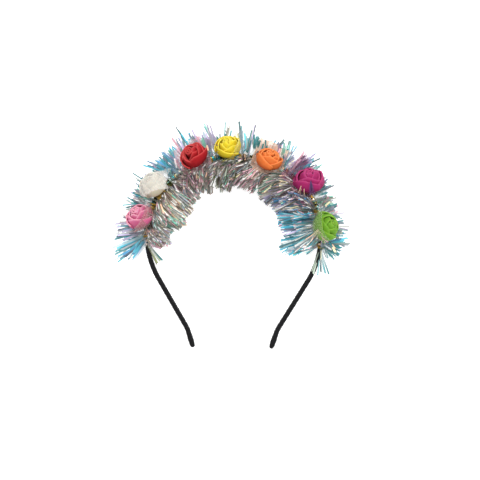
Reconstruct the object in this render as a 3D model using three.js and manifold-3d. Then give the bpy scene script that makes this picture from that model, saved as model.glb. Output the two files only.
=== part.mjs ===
// A flower crown headband, lying on its back as it rests on a table: a ribbon-covered hoop, a tinsel
// garland wound along its crown, and seven foam roses, each sitting on a gathered square of tulle.
// Millimetres, +Z up. The shapes are worked out in the hoop's own plane (x across, y towards the crown,
// z towards the front that shows), and one group then leans that plane back on the tinsel.
import * as THREE from "three";
import { mergeVertices } from "three/addons/utils/BufferGeometryUtils.js";
import Module from "manifold-3d";

const wasm = await Module();
wasm.setup();

// Hoop
const hoopHalfWidth = 63.5; // to the centre line, where the hoop is widest
const crownRise = 57; // from the widest place up to the crown
const legLength = 40; // straight stretch of each leg
const toeBendLength = 4;
const toeTurn = 13; // degrees that each toe turns outwards
const toeLength = 12.5;
const bandThickness = 3.7; // in the hoop's plane
const bandWidth = 5; // across the hoop's plane
const bandCorner = 1.2; // radius of the covered edges
const hoopStep = 8; // degrees from one section of the round stretch to the next

// Garland
const garlandLeft = 186; // degrees round the hoop, from the right-hand side over the crown
const garlandRight = -9;
const windingGap = 0.3; // between the hoop and the film wound on it
const windingWall = 1.2;
const tuftRootDepth = 0.5; // how deep a tuft is held in the film
const tuftRootWidth = 3.4;
const tuftTipWidth = 8;
const tuftThickness = 0.9;
const tuftSpread = 22; // most degrees that a tuft leans along the hoop
const endTuftLean = 35; // most degrees that the tufts at each end lean on towards the leg
const tuftsPerTurn = 5;
const tuftStep = 7; // degrees of hoop from one turn of tufts to the next
const layingSplay = 0.8; // how far a tuft pressed down on the table turns to the side, against its length
const forkDepth = 0.3; // share of a tuft's length by which its end is forked

// Roses
const roseDiameter = 19.5;
const roseHeight = 14;
const petalThickness = 1.2;
const neckRadius = 1.6;
const neckLength = 1.8;

// Tulle
const tulleThickness = 1;
const tulleLift = 24; // degrees that its edge is cupped up towards the rose
const tulleRuffle = 1.8; // height of the ruffle at its edge
const bowlRadius = 12.6; // of a square that wraps its rose
const bowlRise = 8; // from that bowl's foot up to where it is widest
const bowlTurn = 150; // most degrees that the bowl runs round from its foot

// How it lies
const restTilt = 5; // degrees that the tinsel holds the crown's side up
const floorGap = 0.8; // middle of the lowest tufts above the table
const pieceGap = 0.35; // clear of a neighbouring piece

// The two legs: how far the round stretch runs on below level before each one starts.
const legs = [
  { side: "left", turn: 30 },
  { side: "right", turn: 32 },
];

// Toe sections, as shares of the toe's length and of the hoop's two thicknesses.
const toeSections = [
  { fromTip: 1, thick: 1, wide: 1 },
  { fromTip: 0.5, thick: 1.15, wide: 1.05 },
  { fromTip: 0.2, thick: 1.05, wide: 1 },
  { fromTip: 0.06, thick: 0.8, wide: 0.8 },
  { fromTip: 0, thick: 0.45, wide: 0.5 },
];

// How long the film stands out from its winding, in millimetres, at places round the hoop in degrees.
const filmLengths = [
  { place: -9, outwards: 16, inwards: 23 },
  { place: 20, outwards: 13.5, inwards: 25.5 },
  { place: 42, outwards: 18, inwards: 25.5 },
  { place: 68, outwards: 15, inwards: 21.5 },
  { place: 90, outwards: 22, inwards: 20 },
  { place: 118, outwards: 23.5, inwards: 15 },
  { place: 135, outwards: 18, inwards: 21.5 },
  { place: 160, outwards: 19, inwards: 23.5 },
  { place: 174, outwards: 20.5, inwards: 18 },
  { place: 186, outwards: 20.5, inwards: 10 },
];

// The garland's lengths of tinsel, wound end to end from the right-hand side over the crown. Each takes
// an equal share of the garland.
const garlandLengths = ["right", "upper_right", "upper_left", "left"];

// Layers of petals, outermost first: radius and height are shares of the rose's.
const petalLayers = [
  { count: 4, radius: 1, height: 0.8, first: 20 },
  { count: 3, radius: 0.62, height: 0.97, first: 65 },
];
// A layer from its foot to its rim: shares of its radius and height.
const petalProfile = [
  { radius: 0.3, height: 0.1 },
  { radius: 0.98, height: 0.42 },
  { radius: 0.97, height: 1 },
];
const petalColumns = 3; // the last of them steps back in behind the next petal
const petalShoulder = 0.2; // share of its height that a petal's rim drops at its sides
const petalLap = 0.12; // share of the radius by which a petal laps outside the next one

// The rolled heart and the base below it: shares of the rose's radius and height.
const heartProfile = [
  { radius: 0, height: 0 },
  { radius: 0.5, height: 0.08 },
  { radius: 0.34, height: 0.4 },
  { radius: 0.26, height: 0.92 },
  { radius: 0.15, height: 1 },
  { radius: 0, height: 0.88 },
];
// The room that the garland leaves round a rose: shares of its radius and height.
const roomProfile = [
  { radius: 0, height: -0.04 },
  { radius: 0.6, height: 0 },
  { radius: 1.14, height: 0.28 },
  { radius: 1.18, height: 0.88 },
  { radius: 0.8, height: 1.08 },
  { radius: 0, height: 1.08 },
];
// The squares of tulle, in the roses' order. side: edge of the square. pull: how far its middle lies to
// one side of the neck, towards so many degrees round the foot from the hoop's direction. wrap: share by
// which it follows a bowl round the rose. rings: steps from the neck to its edge.
const tulles = [
  { side: 26, pull: 4, towards: 75, wrap: 1, rings: 4 },
  { side: 36, pull: 4, towards: 90, wrap: 1, rings: 4 },
  { side: 26, pull: 4, towards: 315, wrap: 0, rings: 3 },
  { side: 26, pull: 3, towards: 200, wrap: 1, rings: 3 },
  { side: 26, pull: 4, towards: 270, wrap: 0, rings: 3 },
  { side: 26, pull: 4, towards: 15, wrap: 0, rings: 3 },
  { side: 26, pull: 4, towards: 90, wrap: 1, rings: 4 },
];
const heartSides = 5;
const neckSides = 4;
const roomSides = 8;
const tulleColumns = 16;
const tulleRuffles = 4;

// The roses from left to right. place: degrees round the hoop. seat: where the foot stands round the
// winding, and lean: where the rose points, both in degrees from straight outwards towards the front.
// aside: degrees that the rose leans along the hoop. spin: degrees about its own axis. size: share of
// the rose's diameter and height.
const roses = [
  { name: "pink", place: 169.3, seat: 92, lean: 52, aside: -8, spin: 15, size: 1, tone: 0xe85f9a },
  { name: "white", place: 145.5, seat: 90, lean: 46, aside: 2, spin: 50, size: 1, tone: 0xefebe2 },
  { name: "red", place: 113.8, seat: 92, lean: 54, aside: 6, spin: 80, size: 1, tone: 0xb3121d },
  { name: "yellow", place: 93.5, seat: 90, lean: 46, aside: 0, spin: 30, size: 0.93, tone: 0xf2dc2f },
  { name: "orange", place: 68, seat: 120, lean: 66, aside: -6, spin: 10, size: 0.95, tone: 0xef7a35 },
  { name: "magenta", place: 38.5, seat: 95, lean: 59, aside: -4, spin: 65, size: 1.14, tone: 0xc81f72 },
  { name: "green", place: 5, seat: 115, lean: 63, aside: 4, spin: 40, size: 1.06, tone: 0x7cc62f },
];

const rad = THREE.MathUtils.degToRad;
const up = new THREE.Vector3(0, 0, 1);
const tableUp = up.clone().applyAxisAngle(new THREE.Vector3(1, 0, 0), -rad(restTilt));

// An even scatter from 0 to 1 that is the same on every run.
function scatter(n) {
  const value = Math.sin(n * 12.9898 + 4.1414) * 43758.5453;
  return value - Math.floor(value);
}

// The closed solid inside a geometry's faces.
function solidOf(geometry) {
  const bare = new THREE.BufferGeometry().setAttribute("position", geometry.getAttribute("position"));
  if (geometry.index) bare.setIndex(geometry.index);
  const merged = mergeVertices(bare, 1e-4);
  const mesh = { numProp: 3, vertProperties: merged.attributes.position.array };
  return new wasm.Manifold(new wasm.Mesh({ ...mesh, triVerts: new Uint32Array(merged.index.array) }));
}

function geometryOf(solid) {
  const { vertProperties, triVerts } = solid.getMesh();
  const made = new THREE.BufferGeometry();
  made.setAttribute("position", new THREE.BufferAttribute(new Float32Array(vertProperties), 3));
  made.setIndex(new THREE.BufferAttribute(new Uint32Array(triVerts), 1));
  made.computeVertexNormals();
  return made;
}

// Faces from lists of corners: each corner is a vector, each face three places in the list.
function closedGeometry(corners, faces) {
  const made = new THREE.BufferGeometry().setFromPoints(corners);
  return made.setIndex(faces.flat());
}

// A solid through rings of the same number of points, which run anticlockwise seen from the last ring.
function loft(rings) {
  const sides = rings[0].length;
  const faces = [];
  for (let r = 0; r + 1 < rings.length; r++) {
    for (let s = 0; s < sides; s++) {
      const [a, b] = [r * sides + s, r * sides + ((s + 1) % sides)];
      faces.push([a, b, b + sides], [a, b + sides, a + sides]);
    }
  }
  const last = (rings.length - 1) * sides;
  for (let s = 1; s + 1 < sides; s++) {
    faces.push([0, s + 1, s], [last, last + s, last + s + 1]);
  }
  return solidOf(closedGeometry(rings.flat(), faces));
}

// A sheet of one thickness about surface(u, v). u and v run from 0 to 1; a round sheet meets itself in u.
function sheet(surface, columns, rows, thickness, round) {
  const nudge = 1e-3;
  const width = round ? columns : columns + 1;
  const [front, back] = [[], []];
  for (let r = 0; r <= rows; r++) {
    for (let c = 0; c < width; c++) {
      const [u, v] = [c / columns, r / rows];
      const alongU = surface(u + nudge, v).sub(surface(u - nudge, v));
      const alongV = surface(u, v + nudge).sub(surface(u, v - nudge));
      const half = alongU.cross(alongV).setLength(thickness / 2);
      front.push(surface(u, v).add(half));
      back.push(surface(u, v).sub(half));
    }
  }
  const faces = [];
  const away = front.length;
  const quad = (a, b, c, d) => faces.push([a, b, c], [a, c, d]);
  const at = (c, r) => r * width + (c % width);
  for (let r = 0; r < rows; r++) {
    for (let c = 0; c < columns; c++) {
      quad(at(c, r), at(c + 1, r), at(c + 1, r + 1), at(c, r + 1));
      quad(away + at(c, r + 1), away + at(c + 1, r + 1), away + at(c + 1, r), away + at(c, r));
    }
  }
  for (let c = 0; c < columns; c++) {
    quad(at(c + 1, 0), at(c, 0), away + at(c, 0), away + at(c + 1, 0));
    quad(at(c, rows), at(c + 1, rows), away + at(c + 1, rows), away + at(c, rows));
  }
  for (let r = 0; !round && r < rows; r++) {
    quad(at(0, r), at(0, r + 1), away + at(0, r + 1), away + at(0, r));
    quad(at(columns, r + 1), at(columns, r), away + at(columns, r), away + at(columns, r + 1));
  }
  return solidOf(closedGeometry([...front, ...back], faces));
}

// A solid turned about z from a profile of { radius, height } that starts and ends on the axis.
function turned(profile, radius, height, sides) {
  const points = profile.map((p) => new THREE.Vector2(p.radius * radius, p.height * height));
  return solidOf(new THREE.LatheGeometry(points, sides).rotateX(Math.PI / 2));
}

function union(solids) {
  return wasm.Manifold.union(solids);
}

// The hoop's centre line: a place with the direction that points outwards there, and the section's size.
function onHoop(angle) {
  const [cos, sin] = [Math.cos(rad(angle)), Math.sin(rad(angle))];
  const rise = sin > 0 ? crownRise : hoopHalfWidth;
  const outwards = new THREE.Vector3(cos / hoopHalfWidth, sin / rise, 0).normalize();
  return { point: new THREE.Vector3(hoopHalfWidth * cos, rise * sin, 0), outwards, thick: 1, wide: 1 };
}

function alongHoop(outwards) {
  return outwards.clone().cross(up).negate();
}

function hoopStations(from, to, step) {
  const count = Math.ceil((to - from) / step);
  return Array.from({ length: count + 1 }, (_, i) => onHoop(from + ((to - from) * i) / count));
}

// A leg and its toe as the left-hand one lies, from where the round stretch ends down to the tip.
function leftLeg(turn) {
  const end = onHoop(180 + turn);
  const knee = end.point.clone().addScaledVector(alongHoop(end.outwards), legLength);
  const bendRadius = toeBendLength / rad(toeTurn);
  const bendCentre = knee.clone().addScaledVector(end.outwards, bendRadius);
  const steps = 3;
  const stations = [];
  for (let i = 0; i <= steps; i++) {
    const { outwards } = onHoop(180 + turn - (toeTurn * i) / steps);
    const point = bendCentre.clone().addScaledVector(outwards, -bendRadius);
    stations.push({ point, outwards, thick: 1, wide: 1 });
  }
  const { point: toe, outwards } = stations.pop();
  for (const { fromTip, thick, wide } of toeSections) {
    const point = toe.clone().addScaledVector(alongHoop(outwards), toeLength * (1 - fromTip));
    stations.push({ point, outwards, thick, wide });
  }
  return stations;
}

function mirrored({ point, outwards, ...section }) {
  const flip = new THREE.Vector3(-1, 1, 1);
  return { point: point.clone().multiply(flip), outwards: outwards.clone().multiply(flip), ...section };
}

// The section with its eased edges, grown by offset, as points round a station.
function sectionRing({ point, outwards, thick, wide }, offset) {
  const [across, deep] = [(bandThickness / 2) * thick + offset, (bandWidth / 2) * wide + offset];
  const corner = (bandCorner + offset) * Math.min(thick, wide, 1);
  const section = [
    [across, deep - corner], [across - corner, deep], [corner - across, deep], [-across, deep - corner],
    [-across, corner - deep], [corner - across, -deep], [across - corner, -deep], [across, corner - deep],
  ];
  return section.map(([out, front]) =>
    point.clone().addScaledVector(outwards, out).addScaledVector(up, front));
}

// The whole hoop with its legs, grown by offset.
function hoopSolid(offset) {
  const [left, right] = legs;
  const round = hoopStations(-right.turn, 180 + left.turn, hoopStep).reverse();
  const ends = [leftLeg(left.turn).reverse(), leftLeg(right.turn).map(mirrored)];
  return loft([...ends[0], ...round, ...ends[1]].map((station) => sectionRing(station, offset)));
}

// Height above the table of a place in the hoop's plane, once the crown is tilted up.
const lowestOfHoop = hoopSolid(0).rotate([restTilt, 0, 0]).boundingBox().min[2];
function heightOf(place) {
  return place.dot(tableUp) - lowestOfHoop;
}

// The frame of one rose, its height along z: its foot on the winding, and its axis.
function seatOf({ place, seat, lean, aside, spin, size }) {
  const { point, outwards } = onHoop(place);
  const along = alongHoop(outwards);
  const towards = (angle) =>
    outwards.clone().multiplyScalar(Math.cos(rad(angle))).addScaledVector(up, Math.sin(rad(angle)));
  const axis = towards(lean);
  axis.applyAxisAngle(axis.clone().cross(along), rad(aside));
  const side = along.clone().addScaledVector(axis, -along.dot(axis)).normalize();
  const foot = point.clone().addScaledVector(towards(seat), windingReach(seat) + pieceGap);
  const tipped = Math.sin(towards(seat).angleTo(axis)) * neckRadius * size;
  foot.addScaledVector(axis, tipped + neckLength * size);
  const frame = new THREE.Matrix4().makeBasis(side, axis.clone().cross(side), axis);
  frame.multiply(new THREE.Matrix4().makeRotationZ(rad(spin))).scale(new THREE.Vector3(size, size, size));
  return frame.setPosition(foot);
}

// How far the winding's outside lies from the hoop's centre line, in the direction lean.
function windingReach(lean) {
  const grown = windingGap + windingWall;
  const [across, deep] = [bandThickness / 2 + grown, bandWidth / 2 + grown];
  return Math.min(across / Math.abs(Math.cos(rad(lean))), deep / Math.abs(Math.sin(rad(lean))));
}

function placed(solid, seat) {
  return solid.transform(seat.elements);
}

// One layer of petals as a cup: each petal swells outwards to one side, where it laps over the next.
function petalCup({ count, radius, height, first }) {
  const points = petalProfile.map((p) => new THREE.Vector3(p.radius, 0, p.height));
  const profile = new THREE.CatmullRomCurve3(points, false, "centripetal");
  const surface = (u, v) => {
    const share = (((u * count) % 1) + 1) % 1;
    const back = 1 - 1 / petalColumns;
    const side = share < back ? (2 * share) / back - 1 : 1 - (2 * (share - back)) / (1 - back);
    const at = profile.getPoint(THREE.MathUtils.clamp(v, 0, 1));
    const away = (roseDiameter / 2 - petalThickness / 2) * radius * (at.x + petalLap * side * at.z);
    const rise = roseHeight * height * at.z * (1 - petalShoulder * side * side);
    const around = rad(first + 360 * u);
    return new THREE.Vector3(away * Math.cos(around), away * Math.sin(around), rise);
  };
  return sheet(surface, petalColumns * count, petalProfile.length - 1, petalThickness, true);
}

function roseSolid() {
  const neck = [[0, -neckLength], [neckRadius, -neckLength], [neckRadius, 1], [0, 1]];
  return union([
    turned(heartProfile, roseDiameter / 2, roseHeight, heartSides),
    turned(neck.map(([radius, height]) => ({ radius, height })), 1, 1, neckSides),
    ...petalLayers.map(petalCup),
  ]);
}

// The tulle square of one rose, gathered at the neck and cupped up or wrapped round the rose as a bowl,
// grown by extra on every side.
function tulleSheet(extra, index) {
  const { side, pull, towards, wrap, rings } = tulles[index];
  const hole = neckRadius + pieceGap - extra;
  const lerp = THREE.MathUtils.lerp;
  const toWall = (share, shift) => (side / 2 + Math.sign(share) * shift) / Math.abs(share);
  const surface = (u, v) => {
    const around = 2 * Math.PI * u;
    const corner = around + rad(roses[index].spin);
    const edge = Math.min(toWall(Math.cos(corner), pull * Math.cos(rad(towards))),
      toWall(Math.sin(corner), pull * Math.sin(rad(towards))));
    const run = (edge + extra - hole) * v;
    const out = Math.min(run / (side / 2), 1);
    const lift = rad(tulleLift) * out;
    const cup = run * Math.sin(lift) + tulleRuffle * out * out * Math.cos(tulleRuffles * around);
    const bend = Math.min((hole + run) / bowlRadius, rad(bowlTurn));
    const away = lerp(hole + run * Math.cos(lift), bowlRadius * Math.sin(bend), wrap);
    const rise = lerp(cup, bowlRise * (1 - Math.cos(bend)), wrap) - neckLength / 2;
    return new THREE.Vector3(away * Math.cos(around), away * Math.sin(around), rise);
  };
  return sheet(surface, tulleColumns, rings, tulleThickness + 2 * extra, true);
}

// Cuts a piece back to its own stretch of the hoop, half a gap short of the middle to each neighbour.
function ownStretch(solid, index) {
  let kept = solid;
  const after = roses[index + 1];
  const before = roses[index - 1];
  if (before) {
    const middle = rad((before.place + roses[index].place) / 2);
    kept = kept.trimByPlane([Math.sin(middle), -Math.cos(middle), 0], pieceGap / 2);
  }
  if (after) {
    const middle = rad((after.place + roses[index].place) / 2);
    kept = kept.trimByPlane([-Math.sin(middle), Math.cos(middle), 0], pieceGap / 2);
  }
  return largest(kept);
}

function largest(solid) {
  return solid.decompose().reduce((a, b) => (b.volume() > a.volume() ? b : a));
}

// One tuft of film strips: a blade that widens from its root to its forked end.
function tuft({ root, direction, across, length }) {
  const flat = direction.clone().cross(across);
  const outline = [
    [0, tuftRootWidth / 2], [0, -tuftRootWidth / 2],
    [length, -tuftTipWidth / 2], [length * (1 - forkDepth), 0], [length, tuftTipWidth / 2],
  ];
  const level = (side) => outline.map(([out, aside]) => root.clone().addScaledVector(direction, out)
    .addScaledVector(across, aside).addScaledVector(flat, (side * tuftThickness) / 2));
  const corners = [...level(-1), ...level(1)];
  const faces = [[0, 3, 1], [1, 3, 2], [0, 4, 3], [5, 6, 8], [6, 7, 8], [5, 8, 9]];
  for (let i = 0; i < outline.length; i++) {
    const next = (i + 1) % outline.length;
    faces.push([i, next, next + 5], [i, next + 5, i + 5]);
  }
  return solidOf(closedGeometry(corners, faces));
}

// The film's length at a place round the hoop; inwards runs from 0 for straight outwards to 1.
function filmLength(place, inwards) {
  const after = Math.max(1, filmLengths.findIndex((row) => row.place >= place));
  const [a, b] = [filmLengths[after - 1], filmLengths[after]];
  const share = (place - a.place) / (b.place - a.place);
  const between = (key) => THREE.MathUtils.lerp(a[key], b[key], share);
  return THREE.MathUtils.lerp(between("outwards"), between("inwards"), inwards);
}

// Every tuft's root, direction and length.
function tuftLayout() {
  const tufts = [];
  const turns = Math.round((garlandLeft - garlandRight) / tuftStep) - 1;
  for (let t = 0; t <= turns; t++) {
    const place = garlandRight + tuftStep / 2 + ((garlandLeft - garlandRight - tuftStep) * t) / turns;
    const { point, outwards } = onHoop(place);
    const along = alongHoop(outwards);
    for (let k = 0; k < tuftsPerTurn; k++) {
      const n = t * tuftsPerTurn + k;
      const around = (t * 137.5 + (360 * k) / tuftsPerTurn) % 360;
      const full = filmLength(place, (1 - Math.cos(rad(around))) / 2);
      const length = full * (0.88 + 0.2 * scatter(n));
      const toEnd = t < 2 ? -1 : t > turns - 2 ? 1 : 0;
      const lean = (scatter(n + 500) * 2 - 1) * tuftSpread + toEnd * endTuftLean * scatter(n + 900);
      const straight = outwards.clone().multiplyScalar(Math.cos(rad(around)));
      straight.addScaledVector(up, Math.sin(rad(around)));
      const root = point.clone().addScaledVector(straight, windingReach(around) - tuftRootDepth);
      straight.applyAxisAngle(straight.clone().cross(along).normalize(), rad(lean));
      tufts.push({ root, length, ...offTheTable({ straight, root, outwards, along, length }) });
    }
  }
  return tufts;
}

// A tuft's direction and the direction of its width. Where it would go through the table, it lies flat
// on it instead, and splays to the hoop's outside or inside.
function offTheTable({ straight, root, outwards, along, length }) {
  const drop = (heightOf(root) - floorGap) / length;
  const fall = -straight.dot(tableUp);
  if (fall <= drop) {
    const across = along.clone().addScaledVector(straight, -along.dot(straight)).normalize();
    return { direction: straight, across };
  }
  const splay = outwards.clone().multiplyScalar(straight.dot(outwards) < 0 ? -1 : 1);
  const level = straight.clone().addScaledVector(tableUp, fall).addScaledVector(splay, layingSplay);
  level.addScaledVector(tableUp, -level.dot(tableUp));
  const direction = level.setLength(Math.sqrt(1 - drop * drop)).addScaledVector(tableUp, -drop);
  return { direction, across: direction.clone().cross(tableUp).normalize() };
}

// Whether the middle line of a tuft stays out of every rose.
function clearsRoses({ root, direction, length }, frames) {
  const line = new THREE.Line3(root, root.clone().addScaledVector(direction, length));
  return frames.every((frame, i) => {
    const middle = new THREE.Vector3(0, 0, roseHeight / 2).applyMatrix4(frame);
    const nearest = line.closestPointToPoint(middle, true, new THREE.Vector3());
    return nearest.distanceTo(middle) > (roseDiameter / 2) * roses[i].size + tuftThickness;
  });
}

// The film wound on the whole hoop with its tufts, cut clear of the hoop, the roses and the tulle.
function garlandSolid(frames) {
  const winding = hoopStations(garlandRight, garlandLeft, tuftStep).reverse();
  const film = loft(winding.map((station) => sectionRing(station, windingGap + windingWall)));
  const tufts = tuftLayout().filter((one) => clearsRoses(one, frames)).map(tuft);
  const room = turned(roomProfile, roseDiameter / 2, roseHeight, roomSides);
  const neckRoom = [[0, -neckLength - pieceGap], [neckRadius + pieceGap, -neckLength - pieceGap]];
  neckRoom.push([neckRadius + pieceGap, 1], [0, 1]);
  const stalk = turned(neckRoom.map(([radius, height]) => ({ radius, height })), 1, 1, neckSides);
  const cuts = frames.flatMap((frame, i) => [
    placed(room, frame), placed(stalk, frame), placed(tulleSheet(pieceGap, i), frame)]);
  return union([film, ...tufts]).subtract(union([hoopSolid(windingGap), ...cuts]));
}

// One length of the garland, half a gap short of the lengths that it meets.
function garlandLength(garland, index) {
  let kept = garland;
  for (const [join, sign] of [[index, 1], [index + 1, -1]]) {
    if (join === 0 || join === garlandLengths.length) continue;
    const share = join / garlandLengths.length;
    const { point, outwards } = onHoop(THREE.MathUtils.lerp(garlandRight, garlandLeft, share));
    const inside = alongHoop(outwards).multiplyScalar(sign);
    kept = kept.trimByPlane(inside.toArray(), inside.dot(point) + pieceGap / 2);
  }
  return largest(kept);
}

function material(color, roughness, metalness) {
  return new THREE.MeshStandardMaterial({ color, roughness, metalness });
}

function named(name, solid, look) {
  const mesh = new THREE.Mesh(geometryOf(solid), look);
  mesh.name = name;
  return mesh;
}

// The finished object, leaning back on its tinsel with the middle of its box over the origin.
function flowerCrown() {
  const frames = roses.map(seatOf);
  const rose = roseSolid();
  const hoopPlane = new THREE.Group();
  hoopPlane.add(named("headband", hoopSolid(0), material(0x17171a, 0.75, 0)));
  const garland = garlandSolid(frames);
  garlandLengths.forEach((name, i) => {
    hoopPlane.add(named(`tinsel_${name}`, garlandLength(garland, i), material(0xbfe0e2, 0.25, 0.4)));
  });
  roses.forEach(({ name, tone }, i) => {
    const petals = ownStretch(placed(rose, frames[i]), i);
    const tulle = ownStretch(placed(tulleSheet(0, i), frames[i]), i);
    hoopPlane.add(named(`rose_${name}`, petals, material(tone, 0.8, 0)));
    hoopPlane.add(named(`tulle_${name}`, tulle, material(tone, 0.9, 0)));
  });
  hoopPlane.rotation.x = rad(restTilt);
  const whole = new THREE.Group().add(hoopPlane);
  const box = new THREE.Box3().setFromObject(whole, true);
  const middle = box.getCenter(new THREE.Vector3());
  hoopPlane.position.set(-middle.x, -middle.y, -box.min.z);
  return whole;
}

export default flowerCrown();
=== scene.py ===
"""Looks of a flower crown headband: a ribbon-covered hoop, a tinsel garland, foam roses and tulle.

Shapes are worked out in the hoop's own plane in millimetres (x across, y towards the crown, z towards
the side that shows), then leaned back onto the table and turned into metres.
"""
from __future__ import annotations

import logging
import math
from dataclasses import dataclass, field
from enum import Enum
from typing import Any, Callable

import bpy
import numpy as np
from mathutils import Matrix, Vector

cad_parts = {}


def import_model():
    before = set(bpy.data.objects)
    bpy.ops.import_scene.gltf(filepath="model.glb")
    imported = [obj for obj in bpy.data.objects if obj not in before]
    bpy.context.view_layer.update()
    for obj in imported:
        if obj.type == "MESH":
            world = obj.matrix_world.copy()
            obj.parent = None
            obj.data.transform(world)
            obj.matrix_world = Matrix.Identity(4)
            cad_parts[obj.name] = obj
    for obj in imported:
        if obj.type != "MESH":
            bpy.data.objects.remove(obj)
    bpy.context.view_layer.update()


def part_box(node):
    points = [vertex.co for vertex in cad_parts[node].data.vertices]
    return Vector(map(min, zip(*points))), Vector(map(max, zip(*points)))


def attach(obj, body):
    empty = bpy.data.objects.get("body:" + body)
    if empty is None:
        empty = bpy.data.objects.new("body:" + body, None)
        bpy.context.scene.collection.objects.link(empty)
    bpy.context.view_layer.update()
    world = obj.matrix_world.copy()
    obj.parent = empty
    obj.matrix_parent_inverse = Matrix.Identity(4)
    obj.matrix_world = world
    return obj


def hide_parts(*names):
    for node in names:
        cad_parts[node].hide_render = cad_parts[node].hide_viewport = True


log = logging.getLogger("flower_crown")

Array = np.ndarray
Colour = tuple[float, float, float]
Surface = Callable[[Array, Array], Array]
UP = np.array([0.0, 0.0, 1.0])
PHASES = (0.0, 6.28)  # radians of a full turn, for the random start of a wave
NUDGE = 1e-3  # share of a surface over which its slope is taken
RIM_THINNING = 0.45  # share of its thickness that a sheet loses at its rim
STRIP_ROOM = 0.4  # millimetres between a rose and the strips of film


class Tone(Enum):
    """Colours that the iridescent film shows."""

    TEAL = (0.035, 0.27, 0.29)
    CYAN = (0.09, 0.45, 0.57)
    BLUE = (0.08, 0.27, 0.48)
    LILAC = (0.45, 0.40, 0.58)
    PINK = (0.78, 0.42, 0.50)
    MINT = (0.24, 0.58, 0.46)
    STEEL = (0.24, 0.31, 0.36)
    SILVER = (0.40, 0.40, 0.37)
    TAUPE = (0.40, 0.32, 0.28)
    SAGE = (0.32, 0.38, 0.31)
    PEARL = (0.88, 0.88, 0.86)
    PEACH = (0.93, 0.60, 0.42)
    STRAW = (0.86, 0.78, 0.48)
    GOLD = (0.46, 0.28, 0.04)
    OLIVE = (0.10, 0.12, 0.025)
    PURPLE = (0.10, 0.03, 0.16)


class Side(Enum):
    """The side of the hoop that a strip of film stands out on."""

    OUTWARDS = 1
    INWARDS = -1


def unit(vectors: Array) -> Array:
    """Return the vectors scaled to length 1."""
    return vectors / np.maximum(np.linalg.norm(vectors, axis=-1, keepdims=True), 1e-12)


def ramp(value: Array, low: float, high: float) -> Array:
    """Return a smooth rise from 0 at low to 1 at high."""
    share = np.clip((value - low) / (high - low), 0.0, 1.0)
    return share * share * (3.0 - 2.0 * share)


def spun(away: Array, angle: Array, tall: Array) -> Array:
    """Return points at distances from the z axis, radians round it, and heights."""
    return np.stack([away * np.cos(angle), away * np.sin(angle), tall], axis=-1)


def turned(vectors: Array, axes: Array, angle: Array) -> Array:
    """Turn vectors about unit axes.

    Args:
        vectors: Vectors in the last dimension.
        axes: Unit axes, one for each vector.
        angle: Angles in radians, one for each vector.

    Returns:
        The turned vectors.
    """
    cos, sin = np.cos(angle)[..., None], np.sin(angle)[..., None]
    along = np.sum(axes * vectors, axis=-1, keepdims=True) * axes
    return vectors * cos + np.cross(axes, vectors) * sin + along * (1.0 - cos)


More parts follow.
